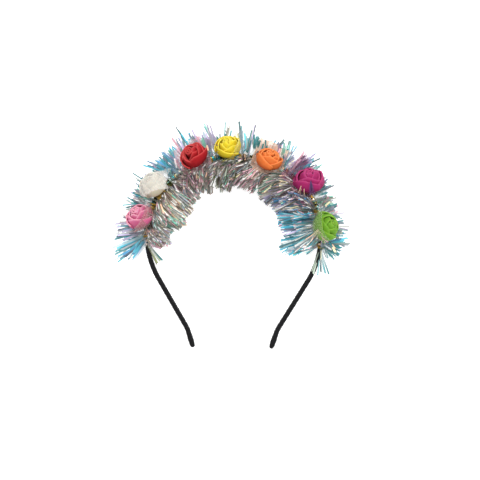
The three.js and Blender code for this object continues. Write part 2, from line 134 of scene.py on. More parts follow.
@dataclass
class Hoop:
    """The spring hoop under its black satin ribbon, in millimetres and degrees."""

    half_width: float = 63.5
    rise: float = 57.0
    left_turn: float = 30.0  # from the widest place on down to the straight leg
    right_turn: float = 32.0
    leg: float = 40.0
    bend: float = 4.0
    toe_turn: float = 13.0
    toe: float = 12.5
    thickness: float = 3.7  # in the hoop's plane
    width: float = 5.0  # across the hoop's plane
    corner: float = 1.2
    coarse_step: float = 8.0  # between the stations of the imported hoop
    fine_step: float = 1.5
    tilt: float = 5.0
    ring_spacing: float = 0.42
    sides: int = 30
    squareness: float = 0.62  # power of the section's sine and cosine: 1 gives an ellipse
    tip_round: float = 1.6  # length over which a tip is rounded off
    tip_least: float = 0.02
    slimmest: float = 0.9  # least share of the section before a tip is rounded off
    wrap_pitch: float = 4.2
    wrap_step: float = 0.16
    lap: float = 0.9  # share of a turn over which the ribbon rises to its edge
    lap_level: float = 0.8  # share of that rise at which it lies on the section's outline
    lap_highlight_band: tuple[float, float, float, float] = (0.86, 0.9, 0.93, 0.99)  # part of a turn painted paler, a painted highlight on the ribbon's lapped edge
    wander: tuple[tuple[float, float, float], ...] = (  # share of a turn, radians a millimetre, start
        (0.035, 0.31, 0.0), (0.02, 0.83, 1.0))
    toe_sections: tuple[tuple[float, float, float], ...] = (  # share from the tip, thickness, width
        (1.0, 1.0, 1.0), (0.5, 1.15, 1.05), (0.2, 1.05, 1.0), (0.06, 0.8, 0.8), (0.0, 0.45, 0.5))
    offset: Array = field(default_factory=lambda: np.zeros(3))

    def at(self, angle: Array) -> tuple[Array, Array]:
        """Return points of the centre line and the outward directions there.

        Args:
            angle: Degrees round the hoop, from the right-hand side over the crown.

        Returns:
            The points and the unit outward directions.
        """
        angle = np.radians(np.asarray(angle, dtype=float))
        cos, sin = np.cos(angle), np.sin(angle)
        rise = np.where(sin > 0, self.rise, self.half_width)
        zero = np.zeros_like(cos)
        point = np.stack([self.half_width * cos, rise * sin, zero], axis=-1)
        return point, unit(np.stack([cos / self.half_width, sin / rise, zero], axis=-1))

    def left_leg(self, turn: float) -> list[tuple[Array, Array, float, float]]:
        """Return the stations of a leg as the left-hand one lies, down to its tip.

        Args:
            turn: Degrees that the round stretch runs on past the widest place.

        Returns:
            For each station its point, outward direction, and shares of the thickness and the width.
        """
        point, outwards = self.at(180 + turn)
        knee = point - np.cross(outwards, UP) * self.leg
        radius = self.bend / math.radians(self.toe_turn)
        centre = knee + outwards * radius
        stations = []
        for i in range(4):
            _, outwards = self.at(180 + turn - self.toe_turn * i / 3)
            point = centre - outwards * radius
            if i < 3:
                stations.append((point, outwards, 1.0, 1.0))
        for from_tip, thick, wide in self.toe_sections:
            along = -np.cross(outwards, UP) * self.toe * (1 - from_tip)
            stations.append((point + along, outwards, thick, wide))
        return stations

    def stations(self, step: float) -> tuple[Array, Array, Array, Array]:
        """Return the stations from the left tip over the crown to the right tip.

        Args:
            step: Degrees between the stations of the round stretch.

        Returns:
            Points, outward directions, and shares of the thickness and the width.
        """
        left = self.left_leg(self.left_turn)[::-1]
        flip = np.array([-1.0, 1.0, 1.0])
        right = [(p * flip, o * flip, t, w) for p, o, t, w in self.left_leg(self.right_turn)]
        span = 180 + self.left_turn + self.right_turn
        count = math.ceil(span / step)
        angles = 180 + self.left_turn - span * np.arange(count + 1) / count
        points, outs = self.at(angles)
        rows = left + [(p, o, 1.0, 1.0) for p, o in zip(points, outs)] + right
        return tuple(np.array(column) for column in zip(*rows))

    def settle(self) -> None:
        """Find where the hoop's plane lies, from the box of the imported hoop."""
        point, out, thick, wide = self.stations(self.coarse_step)
        across, deep = self.thickness / 2 * thick, self.width / 2 * wide
        corner = self.corner * np.minimum(np.minimum(thick, wide), 1.0)
        ring = []
        for a, d in ((across, deep - corner), (across - corner, deep)):
            for side, front in ((1, 1), (-1, 1), (-1, -1), (1, -1)):
                ring.append(point + out * (side * a)[:, None] + UP * (front * d)[:, None])
        low = self.lean(np.concatenate(ring)).min(axis=0)
        self.offset = np.array(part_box("headband")[0]) * 1000 - low

    def lean(self, points: Array) -> Array:
        """Lean points of the hoop's plane back onto the table.

        Args:
            points: The points, in millimetres.

        Returns:
            The leaned points, in millimetres.
        """
        angle = math.radians(self.tilt)
        turn = np.array([[1, 0, 0], [0, math.cos(angle), -math.sin(angle)],
                         [0, math.sin(angle), math.cos(angle)]])
        return points @ turn.T

    def world(self, points: Array) -> Array:
        """Return points of the hoop's plane as places in the shared frame, in metres."""
        return (self.lean(points) + self.offset) / 1000

    def table_up(self) -> Array:
        """Return the direction away from the table, in the hoop's plane."""
        angle = math.radians(self.tilt)
        return np.array([0.0, math.sin(angle), math.cos(angle)])

    def height(self, points: Array) -> Array:
        """Return how high points of the hoop's plane lie over the table, in millimetres."""
        return (self.lean(points) + self.offset)[..., 2]

    def reach(self, angle: Array, grown: float) -> Array:
        """Return how far the section, grown all round, reaches in a direction round it.

        Args:
            angle: Radians from straight outwards towards the front.
            grown: Millimetres added to the section.

        Returns:
            The distances from the centre line.
        """
        across = (self.thickness / 2 + grown) / np.maximum(np.abs(np.cos(angle)), 1e-9)
        deep = (self.width / 2 + grown) / np.maximum(np.abs(np.sin(angle)), 1e-9)
        return np.minimum(across, deep)

    def fine_stations(self, spacing: float) -> tuple[Array, Array, Array, Array, Array]:
        """Return evenly spaced stations.

        Args:
            spacing: Millimetres between them.

        Returns:
            Points, outward directions, shares of the thickness and the width, and how far along the
            hoop each station lies.
        """
        point, out, thick, wide = self.stations(self.fine_step)
        run = np.concatenate([[0], np.cumsum(np.linalg.norm(np.diff(point, axis=0), axis=1))])
        count = int(run[-1] / spacing)
        s = np.linspace(0, run[-1], count + 1)

        def along(values: Array) -> Array:
            """Return the values of vectors at the new stations."""
            return np.stack([np.interp(s, run, column) for column in values.T], axis=-1)

        from_tip = np.clip(np.minimum(s, run[-1] - s) / self.tip_round, 0.0, 1.0)
        blunt = np.maximum(np.sqrt(from_tip * (2 - from_tip)), self.tip_least)
        thick = np.maximum(np.interp(s, run, thick), self.slimmest) * blunt
        wide = np.maximum(np.interp(s, run, wide), self.slimmest) * blunt
        return along(point), unit(along(out)), thick, wide, s

    def section(self, around: Array, thick: Array, wide: Array, grown: Array) -> tuple[Array, Array]:
        """Return the rounded section's outward and forward distances.

        Args:
            around: Radians round the section, from straight outwards.
            thick: Shares of the thickness.
            wide: Shares of the width.
            grown: Millimetres added all round.

        Returns:
            Distances outwards and towards the front.
        """
        cos, sin = np.cos(around), np.sin(around)
        across = np.sign(cos) * np.abs(cos) ** self.squareness
        deep = np.sign(sin) * np.abs(sin) ** self.squareness
        return (self.thickness / 2 * thick + grown) * across, (self.width / 2 * wide + grown) * deep

    def build(self, finish: "RibbonFinish") -> bpy.types.Object:
        """Build the hoop with its wound ribbon.

        Args:
            finish: The ribbon's finish.

        Returns:
            The finished piece.
        """
        point, out, thick, wide, s = self.fine_stations(self.ring_spacing)
        around = 2 * np.pi * np.arange(self.sides) / self.sides
        turn = s[:, None] / self.wrap_pitch + around[None] / (2 * np.pi)
        for part, pace, start in self.wander:
            turn = turn + part * np.sin(s[:, None] * pace + start)
        share = turn % 1.0
        lap = np.where(share < self.lap, share / self.lap, (1 - share) / (1 - self.lap))
        full = np.minimum(thick, wide)[:, None]
        grown = self.wrap_step * (lap - self.lap_level) * np.minimum(full, 1.0)
        across, deep = self.section(around[None], thick[:, None], wide[:, None], grown)
        grid = point[:, None] + out[:, None] * across[..., None] + UP * deep[..., None]
        girth = 2 * (self.thickness + self.width) / 1000
        uv = np.stack(np.broadcast_arrays(around[None] / (2 * np.pi) * girth, s[:, None] / 1000), -1)
        mesh = tube_mesh("headband_ribbon", self.world(grid), uv)
        # painted highlight: each turn of the ribbon is painted paler near its lapped edge
        rises, full, fades, gone = self.lap_highlight_band
        edge = ramp(share, rises, full) * (1 - ramp(share, fades, gone))
        paint(mesh, "edge", np.concatenate([edge.ravel(), [0, 0]]))
        return finished(mesh, finish.material(), "ribbon", "headband")


def tube_faces(rings: int, sides: int) -> list[tuple[int, ...]]:
    """Return the faces of a closed tube.

    Args:
        rings: Rings of points, one after another.
        sides: Points in each ring.

    Returns:
        The quads, and the triangles that close each end about a point that follows the rings.
    """
    ring = [(c, (c + 1) % sides) for c in range(sides)]
    faces: list[tuple[int, ...]] = []
    for low in range(0, (rings - 1) * sides, sides):
        faces += [(low + c, low + d, low + sides + d, low + sides + c) for c, d in ring]
    last = (rings - 1) * sides
    for c, d in ring:
        faces.append((d, c, rings * sides))
        faces.append((last + c, last + d, rings * sides + 1))
    return faces


def tube_mesh(name: str, grid: Array, uv: Array) -> bpy.types.Mesh:
    """Make a closed tube from rings of points.

    Args:
        name: The mesh's name.
        grid: Rings by points by coordinates, in metres.
        uv: A place on the cloth for each point.

    Returns:
        The mesh, with its two ends closed by a point each.
    """
    rings, sides = grid.shape[:2]
    points = np.concatenate([grid.reshape(-1, 3), grid[:1].mean(axis=1), grid[-1:].mean(axis=1)])
    mesh = bpy.data.meshes.new(name)
    mesh.from_pydata(points.tolist(), [], tube_faces(rings, sides))
    turn_out(mesh)
    flat = np.concatenate([uv.reshape(-1, 2), uv[0, :1], uv[-1, :1]])
    layer = mesh.uv_layers.new(name="cloth").data
    girth = flat[:, 0].max() * sides / (sides - 1)
    for face in mesh.polygons:
        rows = flat[list(face.vertices)]
        wrapped = rows[:, 0].max() - rows[:, 0].min() > girth / 2
        for loop, (round_it, along) in zip(face.loop_indices, rows):
            past_seam = girth if wrapped and round_it < girth / 2 else 0.0
            layer[loop].uv = (round_it + past_seam, along)
    return mesh


def turn_out(mesh: bpy.types.Mesh) -> None:
    """Turn a closed mesh's faces outwards where its volume comes out negative.

    Args:
        mesh: The mesh.
    """
    points = np.array([v.co for v in mesh.vertices])
    mesh.calc_loop_triangles()
    tri = points[np.array([t.vertices for t in mesh.loop_triangles])]
    volume = np.einsum("ij,ij->i", tri[:, 0], np.cross(tri[:, 1], tri[:, 2])).sum()
    if volume < 0:
        mesh.flip_normals()
    mesh.update()


def paint(mesh: bpy.types.Mesh, name: str, values: Array) -> None:
    """Store a number or a colour for each vertex of a mesh.

    Args:
        mesh: The mesh.
        name: The attribute's name.
        values: One number, or three colour shares, for each vertex.
    """
    values = np.asarray(values, dtype=np.float32)
    if values.ndim == 1:
        values = np.repeat(values[:, None], 3, axis=1)
    colours = np.concatenate([values, np.ones((len(values), 1), np.float32)], axis=1)
    data = mesh.attributes.new(name, "FLOAT_COLOR", "POINT").data
    data.foreach_set("color", colours.ravel())


def finished(mesh: bpy.types.Mesh, material: bpy.types.Material, slot: str,
             *nodes: str) -> bpy.types.Object:
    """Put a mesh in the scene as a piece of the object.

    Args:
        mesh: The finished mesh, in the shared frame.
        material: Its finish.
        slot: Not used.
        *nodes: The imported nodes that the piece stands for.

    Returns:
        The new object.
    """
    piece = bpy.data.objects.new(mesh.name, mesh)
    bpy.context.collection.objects.link(piece)
    mesh.materials.clear()
    mesh.materials.append(material)
    mesh.polygons.foreach_set("use_smooth", [True] * len(mesh.polygons))
    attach(piece, "root")
    if nodes:
        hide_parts(*nodes)
    log.info("%s: %d faces", piece.name, len(mesh.polygons))
    return piece


def sheet_grid(surface: Surface, columns: int, rows: int, thickness: float, closed: bool,
               around: float = 1.0) -> tuple[Array, list[tuple[int, ...]], Array, Array]:
    """Make a sheet of one thickness about a surface.

    Args:
        surface: Gives the middle of the sheet for shares u and v.
        columns: Columns along u.
        rows: Rows along v.
        thickness: The sheet's thickness.
        closed: Whether the sheet meets itself in u.
        around: The largest u.

    Returns:
        Points, faces, and the shares u and v of every point.
    """
    width = columns if closed else columns + 1
    u = np.arange(width)[None] / columns * around + np.zeros((rows + 1, 1))
    v = np.arange(rows + 1)[:, None] / rows + np.zeros((1, width))
    middle = surface(u, v)
    along_u = surface(u + NUDGE, v) - surface(u - NUDGE, v)
    along_v = surface(u, np.minimum(v + NUDGE, 1.0)) - surface(u, np.maximum(v - NUDGE, 0.0))
    half = unit(np.cross(along_u, along_v)) * thickness / 2
    thin = 1.0 - RIM_THINNING * ramp(v, 0.9, 1.0)
    half = half * thin[..., None]
    points = np.concatenate([(middle + half).reshape(-1, 3), (middle - half).reshape(-1, 3)])
    away = (rows + 1) * width

    def at(c: int, r: int) -> int:
        """Return the point of a column and a row."""
        return r * width + c % width

    faces: list[tuple[int, ...]] = []
    for r in range(rows):
        for c in range(columns):
            a, b, d, e = at(c, r), at(c + 1, r), at(c + 1, r + 1), at(c, r + 1)
            faces.append((a, b, d, e))
            faces.append((away + e, away + d, away + b, away + a))
    for c in range(columns):
        faces.append((at(c + 1, 0), at(c, 0), away + at(c, 0), away + at(c + 1, 0)))
        faces.append((at(c, rows), at(c + 1, rows), away + at(c + 1, rows), away + at(c, rows)))
    if not closed:
        for r in range(rows):
            faces.append((at(0, r), at(0, r + 1), away + at(0, r + 1), away + at(0, r)))
            a, b = at(columns, r + 1), at(columns, r)
            faces.append((a, b, away + b, away + a))
    return points, faces, np.tile(u.ravel(), 2), np.tile(v.ravel(), 2)


@dataclass(frozen=True)
class Layer:
    """A layer of petals: radius, height and flare are shares of the rose's, angles are degrees."""

    count: int
    radius: float
    height: float
    first: float  # where its first petal stands
    span: float  # that each petal takes up
    flare: float


@dataclass(frozen=True)
class Square:
    """A square of tulle, in millimetres and degrees.

    Its middle is pulled to one side of the neck, towards so many degrees round the foot from the
    hoop's direction, and wrap is the share by which it follows a bowl round the rose. The bowl opens
    towards nod degrees from straight up, in the direction heading of the hoop's plane.
    """

    side: float = 26.0
    pull: float = 4.0
    towards: float = 90.0
    wrap: float = 0.0
    nod: float = 0.0
    heading: float = 0.0
    gather: float = 0.8  # height of the gathers
    gathers: int = 19  # number of them round the bowl
    flare: float = 1.0  # share of half the side past which the net comes loose from the bowl
    bowl: float = 11.6  # radius of the bowl


@dataclass
class Rose:
    """One foam rose with the square of tulle gathered behind it.

    Lengths are in millimetres and angles in degrees. What shapes the petals and the heart is in
    shares of the rose's radius or height, and a pair of numbers is a range for a random choice.
    """

    name: str
    place: float  # round the hoop, from the right-hand side over the crown
    seat: float  # round the hoop's section, from straight outwards towards the front
    lean: float  # of its axis, from straight outwards towards the front
    aside: float  # of its axis, along the hoop
    spin: float  # about its axis
    size: float
    foam: "FoamFinish"
    net: "NetFinish"
    nod: float  # from straight up, of the way that its petals face
    heading: float  # of that nod, in the hoop's plane
    square: Square
    seed: int = 1
    diameter: float = 19.5
    height: float = 15.2
    petal: float = 1.2  # thickness
    petal_grid: tuple[int, int] = (18, 13)
    petal_turn: tuple[float, float] = (-14.0, 14.0)
    petal_taller: tuple[float, float] = (-0.10, 0.04)
    petal_notch: tuple[float, float] = (-0.45, 0.45)
    petal_lips: tuple[float, float] = (0.3, 2.4)
    petal_fold: tuple[float, float] = (0.0, 0.09)
    petal_foot: float = 0.07
    petal_lap: float = 0.10
    petal_waver: float = 0.25
    shoulder_drop: float = 0.40
    belly: float = 0.44  # height at which a petal is furthest out
    belly_reach: float = 0.575
    foot_swell: float = 0.42
    heart_grid: tuple[int, int] = (60, 9)
    heart_sheet: float = 1.0  # thickness
    heart_turns: float = 2.2
    heart_core: float = 0.03
    heart_growth: float = 0.36
    heart_foot: float = 0.3
    heart_rise: float = 0.66
    base_sides: int = 24
    base_shade_fade: float = 0.55  # how far the base's painted shade gives way to the foam's full colour
    neck_radius: float = 1.6
    neck: float = 1.8
    gap: float = 0.35
    bowl_rise: float = 9.4
    bowl_turn: float = 150.0
    tulle_lift: float = 24.0
    tulle_ruffle: float = 1.8
    tulle_thickness: float = 0.18
    tulle_grid: tuple[int, int] = (180, 24)
    tulle_room: float = 0.35  # between the bowl and the net
    tulle_crease: float = 0.8  # share of the creases that the bowl shows
    petal_room: float = 0.5  # between the petals and the net
    loosened: float = 0.6  # share of its wrap that the net loses towards its edge
    loosening: float = 0.35  # share of half the side over which it does
    creases: tuple[tuple[float, int, int, int], ...] = (  # height, number round, twist, power outwards
        (0.5, 13, 2, 1), (0.6, 7, 0, 2), (0.3, 29, -5, 1))
    layers: tuple[Layer, ...] = (
        Layer(3, 1.0, 0.80, 20, 160, 0.04), Layer(3, 0.85, 0.90, 75, 165, 0.03),
        Layer(3, 0.69, 0.97, 10, 165, 0.03), Layer(2, 0.54, 1.0, 60, 190, 0.02))

    def frame(self, hoop: Hoop, film: float) -> Array:
        """Return the matrix that puts the rose on the hoop's winding.

        Args:
            hoop: The hoop that carries it.
            film: How far the winding's outside lies over the hoop's section.

        Returns:
            A 4 by 4 matrix in the hoop's plane, with the rose's height along z.
        """
        point, out = hoop.at(self.place)
        along = -np.cross(out, UP)

        def towards(angle: float) -> Array:
            """Return a direction round the hoop's section."""
            return out * math.cos(math.radians(angle)) + UP * math.sin(math.radians(angle))

        axis = towards(self.lean)
        pivot = np.cross(axis, along)
        axis = turned(axis, pivot, np.array(math.radians(self.aside)))
        side = unit(along - axis * np.dot(along, axis))
        reach = float(hoop.reach(np.array(math.radians(self.seat)), film))
        foot = point + towards(self.seat) * (reach + self.gap)
        tipped = math.sin(math.acos(np.clip(np.dot(towards(self.seat), axis), -1, 1)))
        foot = foot + axis * (tipped * self.neck_radius + self.neck) * self.size
        spin = math.radians(self.spin)
        x = (side * math.cos(spin) + np.cross(axis, side) * math.sin(spin)) * self.size
        y = (np.cross(axis, side) * math.cos(spin) - side * math.sin(spin)) * self.size
        matrix = np.eye(4)
        matrix[:3, 0], matrix[:3, 1], matrix[:3, 2], matrix[:3, 3] = x, y, axis * self.size, foot
        return matrix

    def petal_surface(self, layer: Layer, index: int, rng: np.random.Generator) -> Surface:
        """Return the middle surface of one petal, in the rose's own frame.

        Args:
            layer: The petal's layer.
            index: Its number in the layer.
            rng: The source of the random choices.

        Returns:
            The surface, from the petal's foot up to its rim.
        """
        turn = math.radians(layer.first + 360 * index / layer.count + rng.uniform(*self.petal_turn))
        high = layer.height * (1 + rng.uniform(*self.petal_taller))
        notch = rng.uniform(*self.petal_notch)
        lips = layer.flare * rng.uniform(*self.petal_lips)
        fold = rng.uniform(*self.petal_fold)
        wave = rng.uniform(*PHASES)

        def surface(u: Array, v: Array) -> Array:
            """Place points of the sheet.

            Args:
                u: Shares of the way across the petal.
                v: Shares of the way up it.

            Returns:
                The points, in the rose's own frame.
            """
            side = 2 * u - 1
            shoulder = 1 - self.shoulder_drop * np.abs(side + notch * 0.5) ** 1.5
            level = self.petal_foot + (high * shoulder - self.petal_foot) * v
            swell = np.sqrt(np.clip(1 - ((level - self.belly) / self.belly_reach) ** 2, 0.02, 1))
            swell = swell * (self.foot_swell + (1 - self.foot_swell) * ramp(level, -0.05, 0.34))
            lap = self.petal_lap * side * np.minimum(v * 1.4, 1.0)
            lip = lips * ramp(v, 0.74, 1.0) * (1 - 0.5 * side * side)
            crest = fold * np.clip(1 - 1.5 * np.abs(side - notch), 0, 1) * ramp(v, 0.3, 0.9)
            away = (self.diameter - self.petal) / 2 * layer.radius * (swell + lap + lip + crest)
            away = away + self.petal_waver * np.sin(2.7 * side + wave + v) * v
            tall = self.height * (level - lips * 0.3 * ramp(v, 0.9, 1.0))
            return spun(away, turn + side * math.radians(layer.span) / 2, tall)

        return surface

    def heart_surface(self) -> Surface:
        """Return the rolled heart's middle surface, in the rose's own frame."""

        def surface(u: Array, v: Array) -> Array:
            """Place points of the sheet.

            Args:
                u: Shares of the way along the roll.
                v: Shares of the way up it.

            Returns:
                The points, in the rose's own frame.
            """
            angle = 2 * np.pi * u * self.heart_turns
            away = self.diameter / 2 * (self.heart_core + self.heart_growth * u) * (1.1 - 0.25 * v)
            rise = self.heart_rise - 0.04 * u + 0.02 * np.sin(3 * angle)
            return spun(away, angle, self.height * (self.heart_foot + rise * v))

        return surface

    def build(self, hoop: Hoop, film: float) -> bpy.types.Object:
        """Build the rose.

        Args:
            hoop: The hoop that carries it.
            film: How far the winding's outside lies over the hoop's section.

        Returns:
            The finished piece.
        """
        rng = np.random.default_rng(self.seed)
        sheets = [(self.heart_surface(), *self.heart_grid, self.heart_sheet)]
        for layer in self.layers:
            for index in range(layer.count):
                sheets.append((self.petal_surface(layer, index, rng), *self.petal_grid, self.petal))
        points, faces, rim_highlights, shade_fades = [], [], [], []
        count = 0
        for surface, columns, rows, thick in sheets:
            p, f, u, v = sheet_grid(surface, columns, rows, thick, False)
            points.append(p)
            faces += [tuple(i + count for i in face) for face in f]
            # painted highlight along each rim, and painted shade that fades from the petal's foot upwards
            rim_highlights.append(ramp(v, 0.9, 0.98))
            shade_fades.append(ramp(v, 0.1, 0.85))
            count += len(p)
        base, base_faces = self.base()
        points.append(base)
        faces += [tuple(i + count for i in face) for face in base_faces]
        rim_highlights.append(np.zeros(len(base)))
        # the base keeps part of the painted shade
        shade_fades.append(np.full(len(base), self.base_shade_fade))
        matrix = self.frame(hoop, film)
        local = np.concatenate(points)
        nodding = np.arange(len(local)) < count
        placed = local @ matrix[:3, :3].T + matrix[:3, 3]
        placed = hoop.world(self.nodded(placed, matrix, self.nod, self.heading, nodding))
        mesh = bpy.data.meshes.new(f"rose_{self.name}_petals")
        mesh.from_pydata(placed.tolist(), [], faces)
        paint(mesh, "rim_highlight", np.concatenate(rim_highlights))
        paint(mesh, "shade_fade", np.concatenate(shade_fades))
        paint(mesh, "local", local / 1000)
        return finished(mesh, self.foam.material(self.name), f"foam_{self.name}", f"rose_{self.name}")

    def middle(self, matrix: Array) -> Array:
        """Return the rose's middle, in the hoop's plane."""
        return matrix[:3, :3] @ np.array([0, 0, self.height * 0.45]) + matrix[:3, 3]

    def nodded(self, points: Array, matrix: Array, nod: float, heading: float, share: Array) -> Array:
        """Turn points about the rose's middle, so that what faced along its axis faces elsewhere.

        Args:
            points: The points, in the hoop's plane.
            matrix: The rose's matrix.
            nod: Degrees from straight up that they face then.
            heading: The direction in the hoop's plane in which they nod, in degrees.
            share: The share of the turn that each point makes.

        Returns:
            The turned points.
        """
        middle = self.middle(matrix)
        nod, heading = math.radians(nod), math.radians(heading)
        wanted = np.array([math.sin(nod) * math.cos(heading), math.sin(nod) * math.sin(heading),
                           math.cos(nod)])
        axis = unit(matrix[:3, 2])
        pivot = unit(np.cross(axis, wanted))
        angle = share * math.acos(float(np.clip(axis @ wanted, -1, 1)))
        return turned(points - middle, np.broadcast_to(pivot, points.shape), angle) + middle

    def base(self) -> tuple[Array, list[tuple[int, ...]]]:
        """Make the base and the neck.

        Returns:
            Their points, in the rose's own frame, and their faces.
        """
        half, tall = self.diameter / 2, self.height
        profile = [(self.neck_radius * 0.9, -self.neck), (self.neck_radius, -self.neck * 0.85),
                   (self.neck_radius, -0.3), (half * 0.3, 0.02 * tall), (half * 0.52, 0.09 * tall),
                   (half * 0.5, 0.24 * tall), (half * 0.3, 0.34 * tall)]
        angle = 2 * np.pi * np.arange(self.base_sides) / self.base_sides
        rings = [spun(r, angle, np.full(self.base_sides, z)) for r, z in profile]
        points = np.concatenate(rings + [[[0, 0, profile[0][1]], [0, 0, profile[-1][1]]]])
        return points, tube_faces(len(profile), self.base_sides)

    def edge(self, around: Array) -> Array:
        """Return how far the square's edge lies from the neck, laid flat.

        Args:
            around: Radians round the neck.

        Returns:
            The distances in those directions.
        """
        square = self.square
        corner = around + math.radians(self.spin)
        towards = math.radians(square.towards)
        reach = []
        for share, shift in ((np.cos(corner), math.cos(towards)), (np.sin(corner), math.sin(towards))):
            wall = square.side / 2 + np.sign(share) * square.pull * shift
            reach.append(wall / np.maximum(np.abs(share), 1e-9))
        return np.minimum(*reach)

    def build_tulle(self, hoop: Hoop, film: float,
                    walls: list[tuple[Array, float]]) -> bpy.types.Object:
        """Build the gathered square of tulle.

        Args:
            hoop: The hoop that carries it.
            film: How far the winding's outside lies over the hoop's section.
            walls: Normals in the hoop's plane with the furthest distance that the net may reach.

        Returns:
            The finished piece.
        """
        hole = self.neck_radius + self.gap
        rng = np.random.default_rng(self.seed + 40)
        phase = rng.uniform(*PHASES, 4)
        square = self.square

        def surface(u: Array, v: Array) -> Array:
            """Place points of the net.

            Args:
                u: Shares of the way round the neck.
                v: Shares of the way out to the square's edge.

            Returns:
                The points, in the rose's own frame.
            """
            around = 2 * np.pi * u
            run = (self.edge(around) - hole) * v
            out = np.minimum(run / (square.side / 2), 1)
            lift = math.radians(self.tulle_lift) * out
            crease = sum(height * out ** power * np.cos(number * around + start + twist * v)
                         for (height, number, twist, power), start in zip(self.creases, phase))
            ease = ramp(run / (square.side / 2), square.flare, square.flare + self.loosening)
            loose = square.wrap * (1 - self.loosened * ease)
            cup = run * np.sin(lift) + self.tulle_ruffle * out * out * np.cos(4 * around) + crease
            bend = np.minimum((hole + run) / square.bowl, math.radians(self.bowl_turn))
            gather = np.cos(square.gathers * around + phase[3] + 3 * np.sin(3 * around + phase[0]))
            gather = square.gather * ramp(bend, 0.5, 1.7) * gather
            bowl = square.bowl + self.tulle_room + self.tulle_crease * crease * out + gather
            away = (1 - loose) * (hole + run * np.cos(lift)) + loose * bowl * np.sin(bend)
            tall = (1 - loose) * cup + loose * self.bowl_rise * (1 - np.cos(bend)) - self.neck / 2
            return spun(away, around, tall)

        points, faces, u, v = sheet_grid(surface, *self.tulle_grid, self.tulle_thickness, True)
        matrix = self.frame(hoop, film)
        placed = points @ matrix[:3, :3].T + matrix[:3, 3]
        if square.wrap:
            share = square.wrap * ramp(v, 0.05, 0.6)
            placed = self.nodded(placed, matrix, square.nod, square.heading, share)
            away = placed - self.middle(matrix)
            clear = (self.diameter / 2 + self.petal_room) * self.size * ramp(v, 0.1, 0.6)
            far = np.linalg.norm(away, axis=1)
            placed = placed + away * (np.maximum(clear / far, 1) - 1)[:, None]
        for normal, furthest in walls:
            placed = placed - normal * np.maximum(placed @ normal - furthest, 0)[:, None]
        mesh = bpy.data.meshes.new(f"tulle_{self.name}_net")
        mesh.from_pydata(hoop.world(placed).tolist(), [], faces)
        around = 2 * np.pi * u
        run = hole + (self.edge(around) - hole) * v
        flat = spun(run, around, v)[:, :2] / 1000
        layer = mesh.uv_layers.new(name="cloth")
        corners = np.zeros(len(mesh.loops), dtype=np.int32)
        mesh.loops.foreach_get("vertex_index", corners)
        layer.data.foreach_set("uv", flat[corners].ravel())
        piece = finished(mesh, self.net.material(self.name), f"tulle_{self.name}", f"tulle_{self.name}")
        return piece


OUTER_MIX = {Tone.TEAL: 0.26, Tone.CYAN: 0.14, Tone.LILAC: 0.18, Tone.PINK: 0.10,
             Tone.MINT: 0.14, Tone.STEEL: 0.16, Tone.SILVER: 0.12, Tone.PEARL: 0.04}
INNER_MIX = {Tone.SILVER: 0.38, Tone.TAUPE: 0.30, Tone.SAGE: 0.12, Tone.STEEL: 0.10,
             Tone.PINK: 0.04, Tone.MINT: 0.03, Tone.LILAC: 0.03}
# colours of the painted glints, which the film's shader makes glow
GLINTS = {Tone.PEARL: 0.52, Tone.PEACH: 0.14, Tone.PINK: 0.14, Tone.MINT: 0.09, Tone.STRAW: 0.11}


def picked(mix: dict[Tone, float], count: int, rng: np.random.Generator) -> Array:
    """Choose a colour for each strip.

    Args:
        mix: The tones with their shares.
        count: How many strips there are.
        rng: The source of the random choices.

    Returns:
        The colours.
    """
    shares = np.array(list(mix.values()))
    table = np.array([tone.value for tone in mix])
    return table[rng.choice(len(table), count, p=shares / shares.sum())]


@dataclass(frozen=True)
class Cluster:
    """A stretch of the garland whose strips share a colour: its place and reach are in degrees."""

    place: float
    reach: float
    side: Side
    tone: Tone
    share: float


@dataclass(frozen=True)
class Stray:
    """Strips that lie across a rose: places on its disc, by angle and share of its radius."""

    rose: int
    start: tuple[float, float]
    end: tuple[float, float]
    tone: Tone
    count: int


@dataclass(frozen=True)
class Fan:
    """Strips that spread from one place of the hoop.

    Both ends are given in degrees round the hoop's middle, the tips also in millimetres from it and
    in millimetres over the hoop's plane.
    """

    start: float
    end: float
    away: float
    spread: float
    count: int
    tones: tuple[Tone, ...]
    over: float = 3.0


